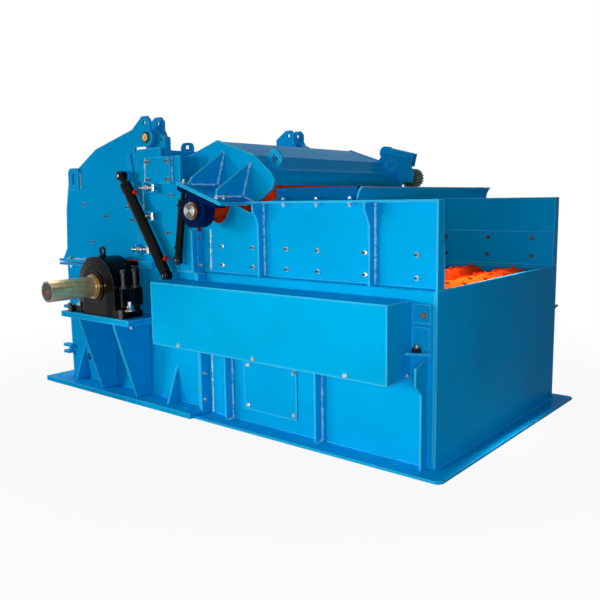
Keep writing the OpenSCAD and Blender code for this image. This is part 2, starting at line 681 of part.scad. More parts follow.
// Far arm plate: its upper edge lies under the sheet of the roll cover
far_arm_pts = [[pivot_x, pivot_z + 78], [pivot_x + 182, pivot_z + 105], [pivot_x + 280, pivot_z + 132],
  [pivot_x + 280, pivot_z + 106], [pivot_x + 419, pivot_z + 150], [pivot_x + 496, pivot_z + 128],
  [pivot_x + 728, pivot_z + 46], [pivot_x + 848, pivot_z - 60], [pivot_x + 848, pivot_z - 130]];
arm_lug_t = 12;
arm_lug_r = 27;
module arm_bracket(pts) {
    union() {
      plate_xz(-arm_y, arm_t) union() {
        polygon(concat(pts, [foot_at(foot_len), foot_at(0), [pivot_x, pivot_z - 75]]));
        translate([pivot_x, pivot_z]) circle(r = 78);
      }
      foot_frame() {
        translate([0, -arm_y - foot_w, -foot_t]) cube([foot_len, foot_w + weld, foot_t]);
        for (x = [46, 284]) plate_yz(x, 14) polygon([[-arm_y + weld, -1], [-arm_y - foot_w + 65, -1],
          [-arm_y - foot_w + 65, 45], [-arm_y + weld, 225]]);
      }
      // Pivot shaft running in the post
      bar_y(pivot_x, pivot_z, -half_w + 1, -arm_y, pivot_r);
      bar_y(pivot_x, pivot_z, -arm_y - 8, -arm_y, pivot_r + 20);
      // Rod lug of the lifting cylinder under the foot plate
      plate_xz(-arm_cyl_y + arm_eye_w/2 + eye_gap, arm_lug_t) union() {
        translate(arm_cyl_top) circle(r = arm_lug_r);
        polygon([arm_cyl_top + [0, arm_lug_r], foot_at(0) + [6, 8], foot_at(60) + [0, 6],
          arm_cyl_top - [0, arm_lug_r]]);
      }
    }
}
module arm_near_bracket() color(blue) arm_bracket(arm_pts);
module arm_far_bracket() color(blue) far_side() arm_bracket(far_arm_pts);
// Cover over the feed roll: ridge, sloping sheets and a rounded lip, with two lifting lugs
cover_inset = cowl_t/2 + 4;
cover_end_y = half_w - side_t - 5;
cover_foot = [[pivot_x, pivot_z + 50], [pivot_x + 182, pivot_z + 88]];
cover_ridge = [[pivot_x + 419, pivot_z + 177 - cover_inset], [pivot_x + 496, pivot_z + 153 - cover_inset],
  [pivot_x + 737 - cover_inset, pivot_z + 73 - cover_inset], [pivot_x + 840, pivot_z - 22]];
lip_r = 62;
module cover_sheet(start) {
  bent_sheet(concat(start, cover_ridge), cowl_t);
  intersection() {
    translate([pivot_x + 822, pivot_z - 72]) difference() {
      circle(r = lip_r);
      circle(r = lip_r - cowl_t);
    }
    translate([pivot_x + 822, pivot_z - 114]) square([80, 114]);
  }
}
module roll_cover() color(blue) {
  y = arm_y - arm_t;
  plate_xz(-y, 2*y) cover_sheet(cover_foot);
  // Far end past the arm plate, with the plate that carries the drive
  plate_xz(y - weld, cover_end_y - y) cover_sheet([(cover_foot[1] + cover_ridge[0])/2]);
  plate_xz(cover_end_y - arm_t, arm_t) polygon([[pivot_x + 300, pivot_z + 142], arm_pts[2], arm_pts[3],
    [pivot_x + 690, pivot_z + 89], [pivot_x + 740, pivot_z + 150], [pivot_x + 940, pivot_z + 100],
    [pivot_x + 1000, pivot_z - 20], [pivot_x + 990, pivot_z - 90], arm_pts[6], arm_pts[7],
    [pivot_x + 780, pivot_z - 110], [pivot_x + 690, pivot_z - 12], [pivot_x + 440, pivot_z + 75]]);
  bar_y(pivot_x, pivot_z, -y, y, pivot_r + 10);
  for (py = [-y + 62, cover_end_y - 85]) translate([pivot_x + 807, py + 9, pivot_z + 7]) rotate([90, 0, 0])
    linear_extrude(18) rotate(-42) lug_face(108, 104, 50, 50);
}
module roll_bearing() {
  y0 = -roll_bearing_y - roll_bearing_w;
  difference() {
    union() {
      foot_frame() translate([foot_run - 175, y0, -foot_t - 34]) cube([350, roll_bearing_w, 34]);
      foot_frame() translate([foot_run - 95, y0 + 8, -foot_drop]) cube([190, roll_bearing_w - 16, foot_drop - foot_t]);
      bar_y(roll_x, roll_z, y0, y0 + roll_bearing_w, 104);
      bar_y(roll_x, roll_z, y0 - 8, y0 + roll_bearing_w + 8, 70);
    }
    bar_y(roll_x, roll_z, y0 - 20, y0 + roll_bearing_w + 20, roll_shaft_r + run_clear);
  }
}
module roll_bearings() color(dark_blue) {
  roll_bearing();
  far_side() roll_bearing();
}
// Drive on the far end of the cover
gearbox_w = 60;
gearbox_len = 259;
gearbox_h = 98;
gearbox_r = 48;
module feed_gearbox() color(blue) {
  translate([pivot_x + 712, cover_end_y, pivot_z + 93]) rotate([0, 14, 0]) {
    cube([gearbox_len, gearbox_w, gearbox_h]);
    translate([10, gearbox_w/2, 56]) rotate([90, 0, 0]) cylinder(h = gearbox_w, r = gearbox_r, center = true);
  }
}
motor_r = 72;
motor_len = 104;
motor_fins = 20;
module feed_motor() color(motor_green)
  translate([pivot_x + 950, cover_end_y, pivot_z - 56]) rotate([-90, 0, 0]) linear_extrude(motor_len)
    tooth_ring(motor_r - 10, motor_r, motor_fins, 9);

// Rolls

// Toothed ring drawn in the plane
module tooth_ring(r0, r1, n, w) {
  circle(r = r0);
  for (i = [0:n - 1]) rotate(i*360/n) translate([0, -w/2]) square([r1, w]);
}
// Tube along Y on a shaft, with two end discs that have round openings
module drum(x, z, y, r, wall, core_r, hole_r, hole_at) {
  difference() {
    bar_y(x, z, -y, y, r);
    bar_y(x, z, -y - 1, y + 1, r - wall);
  }
  for (s = [-1, 1]) difference() {
    bar_y(x, z, s*(y - 40) - 10, s*(y - 40) + 10, r - wall + 1);
    for (a = [0:90:270]) bar_y(x + hole_at*cos(a), z + hole_at*sin(a), s*(y - 40) - 11, s*(y - 40) + 11, hole_r);
    bar_y(x, z, s*(y - 40) - 11, s*(y - 40) + 11, core_r);
  }
}
feed_drum_y = arm_y - arm_t - 15;
feed_rings = 10;
feed_teeth = 15;
feed_tooth_h = 45;
module feed_roll_shaft() color(steel)
  bar_y(roll_x, roll_z, -roll_shaft_y, roll_shaft_y, roll_shaft_r);
module feed_roll() color(orange) {
  gap = (2*feed_drum_y - 60)/(feed_rings - 1);
  r = roll_r - feed_tooth_h;
  drum(roll_x, roll_z, feed_drum_y, r, 25, roll_shaft_r + run_clear, 70, 190);
  for (i = [0:feed_rings - 1]) translate([roll_x, -feed_drum_y + 30 + i*gap, roll_z]) rotate([-90, 0, 0])
    rotate(i*6) linear_extrude(34, center = true) difference() {
      tooth_ring(r + 2, roll_r, feed_teeth, 40);
      circle(r = r - 12);
    }
}
bed_drum_y = half_w - wall_t - 62;
bed_rings = 11;
bed_teeth = 12;
bed_tooth_h = 12;
module bed_roll(i) {
  gap = (2*bed_drum_y - 50)/(bed_rings - 1);
  x = bed_x - i*bed_pitch;
  r = bed_r - bed_tooth_h;
  bar_y(x, bed_z, -half_w - 12, half_w + 12, bed_shaft_r);
  drum(x, bed_z, bed_drum_y, r, 18, bed_shaft_r - 1, 22, 80);
  for (j = [0:bed_rings - 1], a = [0:360/bed_teeth:359]) translate([x, -bed_drum_y + 25 + j*gap, bed_z])
    rotate([0, a + j*15, 0]) translate([r - 8, -13, -9]) cube([bed_tooth_h + 8, 26, 18]);
}
module bed_roll_1() color(orange) bed_roll(0);
module bed_roll_2() color(orange) bed_roll(1);
module bed_roll_3() color(orange) bed_roll(2);
module bed_roll_4() color(orange) bed_roll(3);

// Cylinders

// Frame with its Z axis from the lower pin to the upper pin
module along(a, b) {
  translate([a[0], 0, a[1]]) rotate([0, 90 - atan2(b[1] - a[1], b[0] - a[0]), 0]) children();
}
module barrel(a, b, y, r, rod_r, eye_w, ports, side) {
  s = norm(b - a);
  along(a, b) translate([0, -y, 0]) difference() {
    union() {
      rotate([90, 0, 0]) cylinder(h = eye_w, r = cyl_pin_r + 13, center = true);
      translate([0, 0, 24]) cylinder(h = s - 96, r = r);
      translate([0, 0, s - 120]) cylinder(h = 52, r = r + 3);
      for (z = ports) translate([0, 0, z]) rotate([0, side*90, 0]) cylinder(h = r + 14, r = 11);
    }
    rotate([90, 0, 0]) cylinder(h = eye_w + 2, r = cyl_pin_r + run_clear, center = true);
    translate([0, 0, 62]) cylinder(h = s, r = rod_r + run_clear);
  }
}
module rod(a, b, y, rod_r, eye_r, eye_w) {
  s = norm(b - a);
  along(a, b) translate([0, -y, 0]) union() {
    translate([0, 0, 70]) cylinder(h = s - 70, r = rod_r);
    translate([0, 0, s]) rotate([90, 0, 0]) cylinder(h = eye_w, r = eye_r, center = true);
    translate([0, 0, s]) rotate([90, 0, 0]) cylinder(h = eye_w/2 + 8, r = cyl_pin_r - 3);
  }
}
hood_rod_r = 22;
hood_ports = [97, 624];
arm_ports = [77, 357];
arm_rod_r = 14;
module hood_barrels() color(black) {
  barrel(hood_cyl_low, hood_cyl_top, hood_cyl_y, hood_cyl_r, hood_rod_r, hood_eye_w, hood_ports, 1);
  far_side() barrel(hood_cyl_low, hood_cyl_top, hood_cyl_y, hood_cyl_r, hood_rod_r, hood_eye_w, hood_ports, 1);
}
module hood_rods() color(black) {
  rod(hood_cyl_low, hood_cyl_top, hood_cyl_y, hood_rod_r, 33, hood_eye_w);
  far_side() rod(hood_cyl_low, hood_cyl_top, hood_cyl_y, hood_rod_r, 33, hood_eye_w);
}
module arm_barrels() color(black) {
  barrel(arm_cyl_low, arm_cyl_top, arm_cyl_y, arm_cyl_r, arm_rod_r, arm_eye_w, arm_ports, -1);
  far_side() barrel(arm_cyl_low, arm_cyl_top, arm_cyl_y, arm_cyl_r, arm_rod_r, arm_eye_w, arm_ports, -1);
}
module arm_rods() color(black) {
  rod(arm_cyl_low, arm_cyl_top, arm_cyl_y, arm_rod_r, 26, arm_eye_w);
  far_side() rod(arm_cyl_low, arm_cyl_top, arm_cyl_y, arm_rod_r, 26, arm_eye_w);
}

rotor_base();
near_side_wall();
far_side_wall();
rear_wall();
near_pedestal();
far_pedestal();
near_bearing();
far_bearing();
near_post();
far_post();
portal_beam();
infeed_base();
near_lower_wall();
far_lower_wall();
near_trough_wall();
far_trough_wall();
end_plate();
bed_floor();
trough_liners();
chain_guard();
takeup_bracket();
inspection_cover();
deflector_flap();
edge_strips();
hood_near_side();
hood_far_side();
hood_top();
rotor_shaft();
rotor_discs();
arm_near_bracket();
arm_far_bracket();
roll_cover();
roll_bearings();
feed_gearbox();
feed_motor();
feed_roll();
feed_roll_shaft();
bed_roll_1();
bed_roll_2();
bed_roll_3();
bed_roll_4();
hood_barrels();
hood_rods();
arm_barrels();
arm_rods();
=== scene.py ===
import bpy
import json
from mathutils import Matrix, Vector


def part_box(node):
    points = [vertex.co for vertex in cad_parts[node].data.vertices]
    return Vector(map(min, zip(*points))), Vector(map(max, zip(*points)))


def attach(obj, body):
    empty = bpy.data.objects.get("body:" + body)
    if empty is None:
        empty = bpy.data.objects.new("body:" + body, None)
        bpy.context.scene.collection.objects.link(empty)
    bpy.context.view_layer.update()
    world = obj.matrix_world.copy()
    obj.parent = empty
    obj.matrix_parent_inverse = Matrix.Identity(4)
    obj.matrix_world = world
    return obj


bl_info = {
    "name": "Hammer mill dressing",
    "version": (1, 0, 0),
    "blender": (4, 5, 0),
    "location": "3D View > Sidebar > Mill",
    "description": "Paint, bolts, welds, clamps and stage for a horizontal hammer mill",
    "category": "Object",
}

import json
import math

import bpy
import bmesh
from bpy.props import FloatProperty, FloatVectorProperty, PointerProperty
from mathutils import Matrix, Vector

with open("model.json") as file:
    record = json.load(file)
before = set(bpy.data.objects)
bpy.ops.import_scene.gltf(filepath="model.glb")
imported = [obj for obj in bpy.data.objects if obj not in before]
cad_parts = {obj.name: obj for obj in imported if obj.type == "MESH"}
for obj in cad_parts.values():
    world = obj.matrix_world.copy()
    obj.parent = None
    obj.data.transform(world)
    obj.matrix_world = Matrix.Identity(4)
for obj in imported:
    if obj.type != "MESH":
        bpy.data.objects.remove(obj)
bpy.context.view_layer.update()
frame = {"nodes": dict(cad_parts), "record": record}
NODES = frame["nodes"]
RECORD = frame["record"]

# Places in metres, from the frame: axes of the moving bodies, and distances of faces from the centre plane

AXLES = {j["name"]: Vector(j["pos_m"]) for j in RECORD["behaviour"]["joints"] if "pos_m" in j}
ROTOR, ROLL = AXLES["rotor_spin"], AXLES["feed_roll_spin"]
HINGE, PIVOT = AXLES["hood_hinge"], AXLES["arm_pivot"]
HALF_W = -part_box("inspection_cover")[1].y
TROUGH_PLATE = 0.012
TROUGH_Y = TROUGH_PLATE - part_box("near_trough_wall")[1].y
POST_Y = HALF_W + 0.020
ARM_Y = HALF_W - 0.131
SEAL_LIP = 0.008
BLOCK_OUT = -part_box("near_bearing")[0].y - SEAL_LIP
BLOCK_IN = HALF_W + 0.061
SEAT_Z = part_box("near_bearing")[0].z
X_AXIS, Z_AXIS = Vector((1, 0, 0)), Vector((0, 0, 1))
NEAR, FAR = -1, 1


# Colours and sizes that a user would change

def colour(label, text, rgb):
    return FloatVectorProperty(name=label, description=text, subtype="COLOR", size=3,
                               min=0, max=1, default=rgb)


def length(label, text, value):
    return FloatProperty(name=label, description=text, unit="LENGTH", min=0.0005, default=value)


class MillColours(bpy.types.PropertyGroup):
    blue: colour("Blue paint", "Housing, hood, arm and guard", (0.0, 0.44, 0.86))
    # Painted highlight: lighter blue that the paint takes on along outer edges.
    edge: colour("Paint edges", "Blue paint where it catches the light on edges", (0.12, 0.74, 1.0))
    # Painted highlight: pale spots mixed into the weld paint as glints on its ripples.
    painted_weld_highlight: colour("Weld ripples", "Bright ripples of the painted welds", (0.66, 0.96, 1.0))
    # Painted shade: the edge strips have the housing's blue paint, darkened here for the shade on them.
    deep: colour("Strip paint", "Darker blue of the edge strips", (0.0, 0.125, 0.37))
    navy: colour("Navy paint", "Bearings of the feed roll", (0.002, 0.014, 0.085))
    black: colour("Black paint", "Pillow blocks and cylinders", (0.003, 0.0032, 0.0036))
    # Painted highlight: lighter grey that the black paint takes on along outer edges.
    painted_black_edge_highlight: colour("Black edges", "Black paint where it catches the light on edges", (0.17, 0.175, 0.18))
    orange: colour("Orange paint", "Feed roll and bed rolls", (1.0, 0.062, 0.002))
    green: colour("Motor paint", "Feed drive motor", (0.055, 0.11, 0.095))
    shaft: colour("Turned steel", "Rotor shaft", (1.0, 0.62, 0.27))
    rotor: colour("Rotor steel", "Discs and hammers", (0.10, 0.10, 0.105))
    zinc: colour("Zinc", "Bolts and clamps", (0.66, 0.68, 0.68))
    red: colour("Red plugs", "Caps of the oil ports", (0.85, 0.012, 0.006))
    brass: colour("Brass", "Locking rings, bushes and nipples", (0.50, 0.27, 0.05))


class MillSizes(bpy.types.PropertyGroup):
    wall_bolt: length("Wall bolt", "Across flats of the wall bolts", 0.0165)
    cover_bolt: length("Cover bolt", "Across flats of the cover bolts", 0.016)
    bearing_bolt: length("Bearing bolt", "Across flats of the pillow block bolts", 0.046)
    weld: length("Weld", "Radius of the weld beads", 0.0085)


# Materials

DUST = 0.10


def tree_of(name):
    mat = bpy.data.materials.new(name)
    mat.use_nodes = True
    nt = mat.node_tree
    return mat, nt, nt.nodes["Principled BSDF"]


def node(nt, kind, **values):
    n = nt.nodes.new(kind)
    for key, value in values.items():
        if key in n.inputs:
            n.inputs[key].default_value = value
        else:
            setattr(n, key, value)
    return n


def noise(nt, coord, scale, detail=3.0, rough=0.5):
    n = node(nt, "ShaderNodeTexNoise", Scale=scale, Detail=detail, Roughness=rough)
    nt.links.new(coord.outputs["Object"], n.inputs["Vector"])
    return n


def ramp(nt, source, stops):
    r = nt.nodes.new("ShaderNodeValToRGB")
    els = r.color_ramp.elements
    while len(els) < len(stops):
        els.new(0.5)
    for el, (pos, rgb) in zip(els, stops):
        el.position = pos
        el.color = (*rgb, 1)
    nt.links.new(source, r.inputs["Fac"])
    return r


def mixed(nt, share, source, rgb):
    """Colour socket that goes from the source to one colour by a share."""
    mix = node(nt, "ShaderNodeMix", data_type="RGBA")
    nt.links.new(share, mix.inputs["Factor"])
    nt.links.new(source, mix.inputs["A"])
    mix.inputs["B"].default_value = (*rgb, 1)
    return mix.outputs["Result"]


def shade(rgb, k):
    return tuple(min(1.0, c * k) for c in rgb)


def grey(v):
    return (v, v, v)


def bump(nt, bsdf, height, strength, distance):
    b = node(nt, "ShaderNodeBump", Strength=strength, Distance=distance)
    nt.links.new(height, b.inputs["Height"])
    nt.links.new(b.outputs["Normal"], bsdf.inputs["Normal"])


def painted_edge_highlight(nt, source, rgb, reach):
    """Painted highlight: a lighter colour mixed into the paint along outer edges, where a rounded edge would
    catch the light.
    """
    soft = node(nt, "ShaderNodeBevel", samples=4, Radius=reach)
    flat = nt.nodes.new("ShaderNodeNewGeometry")
    dot = node(nt, "ShaderNodeVectorMath", operation="DOT_PRODUCT")
    nt.links.new(soft.outputs["Normal"], dot.inputs[0])
    nt.links.new(flat.outputs["Normal"], dot.inputs[1])
    # Painted highlight share: large where the bevelled normal turns from the face normal; occlusion keeps it
    # off inner corners.
    share = ramp(nt, dot.outputs["Value"], [(0.76, grey(0.8)), (0.985, grey(0))])
    near = node(nt, "ShaderNodeAmbientOcclusion", samples=4, Distance=0.02)
    outer = ramp(nt, near.outputs["AO"], [(0.70, grey(0)), (0.92, grey(1))])
    both = node(nt, "ShaderNodeMath", operation="MULTIPLY")
    nt.links.new(share.outputs["Color"], both.inputs[0])
    nt.links.new(outer.outputs["Color"], both.inputs[1])
    return mixed(nt, both.outputs[0], source, rgb)


def painted_weld_highlights(nt, tc, source, rgb):
    """Painted glints on a weld: pale spots mixed into its colour by noise, standing in for light caught on
    the ripples.
    """
    spots = noise(nt, tc, 36.0, 4.0, 0.7)
    share = ramp(nt, spots.outputs["Fac"], [(0.43, grey(0.15)), (0.50, grey(1))])
    return mixed(nt, share.outputs["Color"], source, rgb)


def paint(name, rgb, gloss=0.30, coat=0.0, peel=0.05, shine=0.005, lumps=320.0,
          edge=None, reach=0.016, painted_weld_highlight=None):
    """Sprayed paint: cloudy colour, dusty patches, orange peel, and where asked, a painted highlight along
    outer edges and painted glints on welds.
    """
    mat, nt, bsdf = tree_of(name)
    tc = nt.nodes.new("ShaderNodeTexCoord")
    cloud = noise(nt, tc, 2.3, 5.0, 0.6)
    tint = ramp(nt, cloud.outputs["Fac"], [(0.30, shade(rgb, 0.92)), (0.52, rgb), (0.74, shade(rgb, 1.06))])
    specks = noise(nt, tc, 46.0, 8.0, 0.7)
    dust = ramp(nt, specks.outputs["Fac"], [(0.58, grey(0)), (0.80, grey(DUST))])
    coated = mixed(nt, dust.outputs["Color"], tint.outputs["Color"], shade(rgb, 0.45))
    # Painted highlight along outer edges, in the edge colour.
    if edge:
        coated = painted_edge_highlight(nt, coated, edge, reach)
    # Painted glints: pale spots mixed into the colour.
    if painted_weld_highlight:
        coated = painted_weld_highlights(nt, tc, coated, painted_weld_highlight)
    nt.links.new(coated, bsdf.inputs["Base Color"])
    streak = noise(nt, tc, 7.0, 6.0, 0.65)
    rough = ramp(nt, streak.outputs["Fac"], [(0.3, grey(gloss * 0.8)), (0.7, grey(gloss * 1.3))])
    nt.links.new(rough.outputs["Color"], bsdf.inputs["Roughness"])
    skin = noise(nt, tc, lumps, 2.0)
    bump(nt, bsdf, skin.outputs["Fac"], peel, 0.002)
    bsdf.inputs["Specular IOR Level"].default_value = shine
    bsdf.inputs["Coat Weight"].default_value = coat
    bsdf.inputs["Coat Roughness"].default_value = 0.12
    return mat


def metal(name, rgb, gloss, scratch=(1.0, 1.0, 1.0), stain=0.7, bare=1.0):
    """Bare or plated metal: stained colour, fine scratches."""
    mat, nt, bsdf = tree_of(name)
    tc = nt.nodes.new("ShaderNodeTexCoord")
    cloud = noise(nt, tc, 14.0, 6.0, 0.65)
    tint = ramp(nt, cloud.outputs["Fac"], [(0.32, shade(rgb, stain)), (0.6, rgb)])
    nt.links.new(tint.outputs["Color"], bsdf.inputs["Base Color"])
    mapping = nt.nodes.new("ShaderNodeMapping")
    mapping.inputs["Scale"].default_value = scratch
    nt.links.new(tc.outputs["Object"], mapping.inputs["Vector"])
    lines = node(nt, "ShaderNodeTexNoise", Scale=60.0, Detail=4.0)
    nt.links.new(mapping.outputs["Vector"], lines.inputs["Vector"])
    rough = ramp(nt, lines.outputs["Fac"], [(0.3, grey(gloss * 0.7)), (0.7, grey(gloss * 1.5))])
    nt.links.new(rough.outputs["Color"], bsdf.inputs["Roughness"])
    bump(nt, bsdf, lines.outputs["Fac"], 0.08, 0.001)
    bsdf.inputs["Metallic"].default_value = bare
    return mat


def lathe_face_with_painted_highlight(name, rgb, centre):
    """End of a shaft along Y that was faced on a lathe: rings round its centre spread the light in rays, and
    a painted highlight makes the face lighter at its sides and darker at its top and bottom.
    """
    mat = metal(name, rgb, 0.22)
    nt = mat.node_tree
    bsdf = nt.nodes["Principled BSDF"]
    tc = nt.nodes.new("ShaderNodeTexCoord")
    spoke = node(nt, "ShaderNodeVectorMath", operation="SUBTRACT")
    nt.links.new(tc.outputs["Object"], spoke.inputs[0])
    spoke.inputs[1].default_value = centre
    ring = node(nt, "ShaderNodeVectorMath", operation="CROSS_PRODUCT")
    nt.links.new(spoke.outputs["Vector"], ring.inputs[0])
    ring.inputs[1].default_value = (0, 1, 0)
    along = node(nt, "ShaderNodeVectorMath", operation="NORMALIZE")
    nt.links.new(ring.outputs["Vector"], along.inputs[0])
    nt.links.new(along.outputs["Vector"], bsdf.inputs["Tangent"])
    bsdf.inputs["Anisotropic"].default_value = 0.95
    # Painted highlight: the base colour follows the direction of the rings, light where they run up and down
    # and dark where they run across.
    rays = nt.nodes.new("ShaderNodeSeparateXYZ")
    nt.links.new(along.outputs["Vector"], rays.inputs[0])
    painted_highlight_share = node(nt, "ShaderNodeMath", operation="ABSOLUTE")
    nt.links.new(rays.outputs["Z"], painted_highlight_share.inputs[0])
    tint = ramp(nt, painted_highlight_share.outputs[0], [(0.62, shade(rgb, 0.26)), (0.97, rgb)])
    nt.links.new(tint.outputs["Color"], bsdf.inputs["Base Color"])
    return mat


def two_tone(name, inner, outer, y_edge):
    """Shaft that is painted along its middle and bare steel past a distance from the centre plane."""
    mat, nt, bsdf = tree_of(name)
    tc = nt.nodes.new("ShaderNodeTexCoord")
    axes = nt.nodes.new("ShaderNodeSeparateXYZ")
    nt.links.new(tc.outputs["Object"], axes.inputs[0])
    far = node(nt, "ShaderNodeMath", operation="ABSOLUTE")
    nt.links.new(axes.outputs["Y"], far.inputs[0])
    bare = node(nt, "ShaderNodeMath", operation="GREATER_THAN")
    nt.links.new(far.outputs[0], bare.inputs[0])
    bare.inputs[1].default_value = y_edge
    cloud = noise(nt, tc, 30.0, 5.0)
    mix = node(nt, "ShaderNodeMix", data_type="RGBA")
    nt.links.new(bare.outputs[0], mix.inputs["Factor"])
    for key, rgb in (("A", inner), ("B", outer)):
        tint = ramp(nt, cloud.outputs["Fac"], [(0.35, shade(rgb, 0.8)), (0.65, rgb)])
        nt.links.new(tint.outputs["Color"], mix.inputs[key])
    nt.links.new(mix.outputs["Result"], bsdf.inputs["Base Color"])
    nt.links.new(bare.outputs[0], bsdf.inputs["Metallic"])
    rough = ramp(nt, cloud.outputs["Fac"], [(0.3, grey(0.24)), (0.7, grey(0.4))])
    nt.links.new(rough.outputs["Color"], bsdf.inputs["Roughness"])
    bump(nt, bsdf, cloud.outputs["Fac"], 0.05, 0.001)
    bsdf.inputs["Specular IOR Level"].default_value = 0.1
    return mat


FINISH = {}
ROLL_PAINT_END = HALF_W + 0.054


def make_finishes(c):
    FINISH.update(
        # Painted highlight along outer edges of the blue paint.
        blue=paint("blue_paint_gloss", c.blue[:], edge=c.edge[:]),
        # Painted glints on the welds.
        weld=paint("blue_weld", c.blue[:], gloss=0.16, coat=0.5, peel=0.7, shine=0.3, lumps=90.0,
                   painted_weld_highlight=c.painted_weld_highlight[:]),
        # Painted shade: the housing blue darkened for the edge strips.
        deep=paint("strip_blue_painted_shade", c.deep[:]),
        navy=paint("navy_paint", c.navy[:], gloss=0.5, shine=0.012),
        # Painted highlight along the outer edges of the black paint.
        black=paint("black_paint", c.black[:], gloss=0.09, peel=0.02, shine=0.11,
                    edge=c.painted_black_edge_highlight[:], reach=0.007),
        orange=paint("orange_paint", c.orange[:], gloss=0.5, peel=0.12, shine=0.03),
        green=paint("motor_paint", c.green[:], gloss=0.45, shine=0.2),
        red=paint("red_plug", c.red[:], gloss=0.4, shine=0.2),
        shaft=metal("turned_steel", c.shaft[:], 0.19, scratch=(0.3, 3.0, 0.3), stain=0.8, bare=0.5),
        roll_shaft=two_tone("roll_shaft_finish", c.orange[:], shade(c.shaft[:], 0.55), ROLL_PAINT_END),
        rotor=metal("rotor_steel", c.rotor[:], 0.5),
        zinc=metal("zinc_plate", c.zinc[:], 0.26, stain=0.6),
        brass=metal("brass", c.brass[:], 0.3),
        worn=metal("worn_steel", shade(c.zinc[:], 0.42), 0.46, stain=0.55),
        # Painted highlight: the faced steel is lighter at the sides of the shaft end and darker at its top
        # and bottom.
        faced=lathe_face_with_painted_highlight("faced_steel", shade(c.zinc[:], 0.8), ROLL),
        dull=metal("dull_zinc", shade(c.zinc[:], 0.55), 0.34, stain=0.5),
    )


# Building blocks

SHARP_ANGLE = math.radians(35)
RIPPLE, BEAD_SIDES = 0.011, 7


def at(pos, axis=Z_AXIS, spin=0.0):
    """Place whose Z points along the axis."""
    turn = Z_AXIS.rotation_difference(Vector(axis)).to_matrix().to_4x4()
    return Matrix.Translation(Vector(pos)) @ turn @ Matrix.Rotation(spin, 4, "Z")


def out(side):
    """Outward direction on the near or the far side."""
    return Vector((0, side, 0))


def add_cone(bm, place, r1, r2, depth, base=0.0, segments=20):
    """Closed round or hex block standing on its base along the place's Z."""
    m = place @ Matrix.Translation((0, 0, base + depth / 2))
    return bmesh.ops.create_cone(bm, cap_ends=True, segments=segments, radius1=r1, radius2=r2,
                                 depth=depth, matrix=m)["verts"]


def add_box(bm, place, size):
    """Box centred on the place."""
    bmesh.ops.create_cube(bm, size=1.0, matrix=place @ Matrix.Diagonal((*size, 1)))


def add_bolt(bm, place, flats, washer=True):
    """Hex head with a chamfered top on a washer."""
    r = flats / math.sqrt(3)
    h = flats * 0.62
    low = 0.0
    if washer:
        low = flats * 0.14
        add_cone(bm, place, flats * 0.84, flats * 0.80, low)
    add_cone(bm, place, r, r, h * 0.84, low, 6)
    add_cone(bm, place, r, r * 0.84, h * 0.16, low + h * 0.84, 6)


def add_stud(bm, place, flats, ends=None):
    """Nut on a washer with the end of its stud, which can go to another mesh."""
    add_bolt(bm, place, flats)
    end = bm if ends is None else ends
    add_cone(end, place, flats * 0.40, flats * 0.34, flats * 1.35, segments=12)


def add_ring(bm, place, r_out, r_in, depth, base=0.0, segments=40):
    """Closed ring with a square section round the place's Z."""
    pts = ((r_in, base), (r_out, base), (r_out, base + depth), (r_in, base + depth))
    verts = [bm.verts.new(place @ Vector((r, 0, z))) for r, z in pts]
    edges = [bm.edges.new((verts[i], verts[(i + 1) % 4])) for i in range(4)]
    bmesh.ops.spin(bm, geom=verts + edges, cent=place.translation, axis=place.to_3x3().col[2],
                   angle=2 * math.pi, steps=segments, use_merge=True)


def add_bead(bm, a, b, r):
    """Weld bead between two points: a tube whose radius wanders from ripple to ripple."""
    a, run = Vector(a), Vector(b) - Vector(a)
    count = max(2, int(run.length / RIPPLE))
    place = at(a, run, -math.pi / 2)
    tube = add_cone(bm, Matrix(), 1.0, 1.0, count, segments=BEAD_SIDES)
    long_edges = {e for v in tube for e in v.link_edges if e.other_vert(v).co.z != v.co.z}
    cuts = bmesh.ops.subdivide_edges(bm, edges=list(long_edges), cuts=count - 1)["geom_split"]
    for v in {v for e in cuts if isinstance(e, bmesh.types.BMEdge) for v in e.verts}:
        i = round(v.co.z)
        k = r * (0.82 + 0.24 * math.sin(i * 2.3) + 0.16 * math.sin(i * 0.71 + a.x * 9.0))
        v.co = place @ Vector((k * v.co.x, k * v.co.y, run.length * i / count))


def piece(name, bm, finish, body):
    """Object made from the mesh, with its finish, riding on a body."""
    mesh = bpy.data.meshes.new(name)
    bmesh.ops.recalc_face_normals(bm, faces=bm.faces[:])
    for f in bm.faces:
        f.smooth = True
    bm.to_mesh(mesh)
    bm.free()
    mesh.set_sharp_from_angle(angle=SHARP_ANGLE)
    obj = bpy.data.objects.new(name, mesh)
    bpy.context.scene.collection.objects.link(obj)
    mesh.materials.append(FINISH[finish])
    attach(obj, body)


# Operators

class MILL_OT_finishes(bpy.types.Operator):
    """Give every solid of the mill its finish"""
    bl_idname = "mill.finishes"
    bl_label = "Finishes"

    def execute(self, context):
        make_finishes(context.scene.mill_colours)
        by_slot = {"blue_paint": "blue", "navy_paint": "navy", "black_paint": "black",
                   "orange_paint": "orange", "green_paint": "green",
                   "shaft_steel": "shaft", "rotor_steel": "rotor"}
        # The edge strips get the darkened strip blue, which is painted shade.
        by_node = {"feed_roll_shaft": "roll_shaft", "edge_strips": "deep"}
        for sub in RECORD["subparts"]:
            mesh = NODES[sub["node"]].data
            mesh.materials.clear()
            mesh.materials.append(FINISH[by_node.get(sub["node"], by_slot[sub["material_slot"]])])
        return {"FINISHED"}


# Stations of the bolts along X, heights Z, or pairs of both

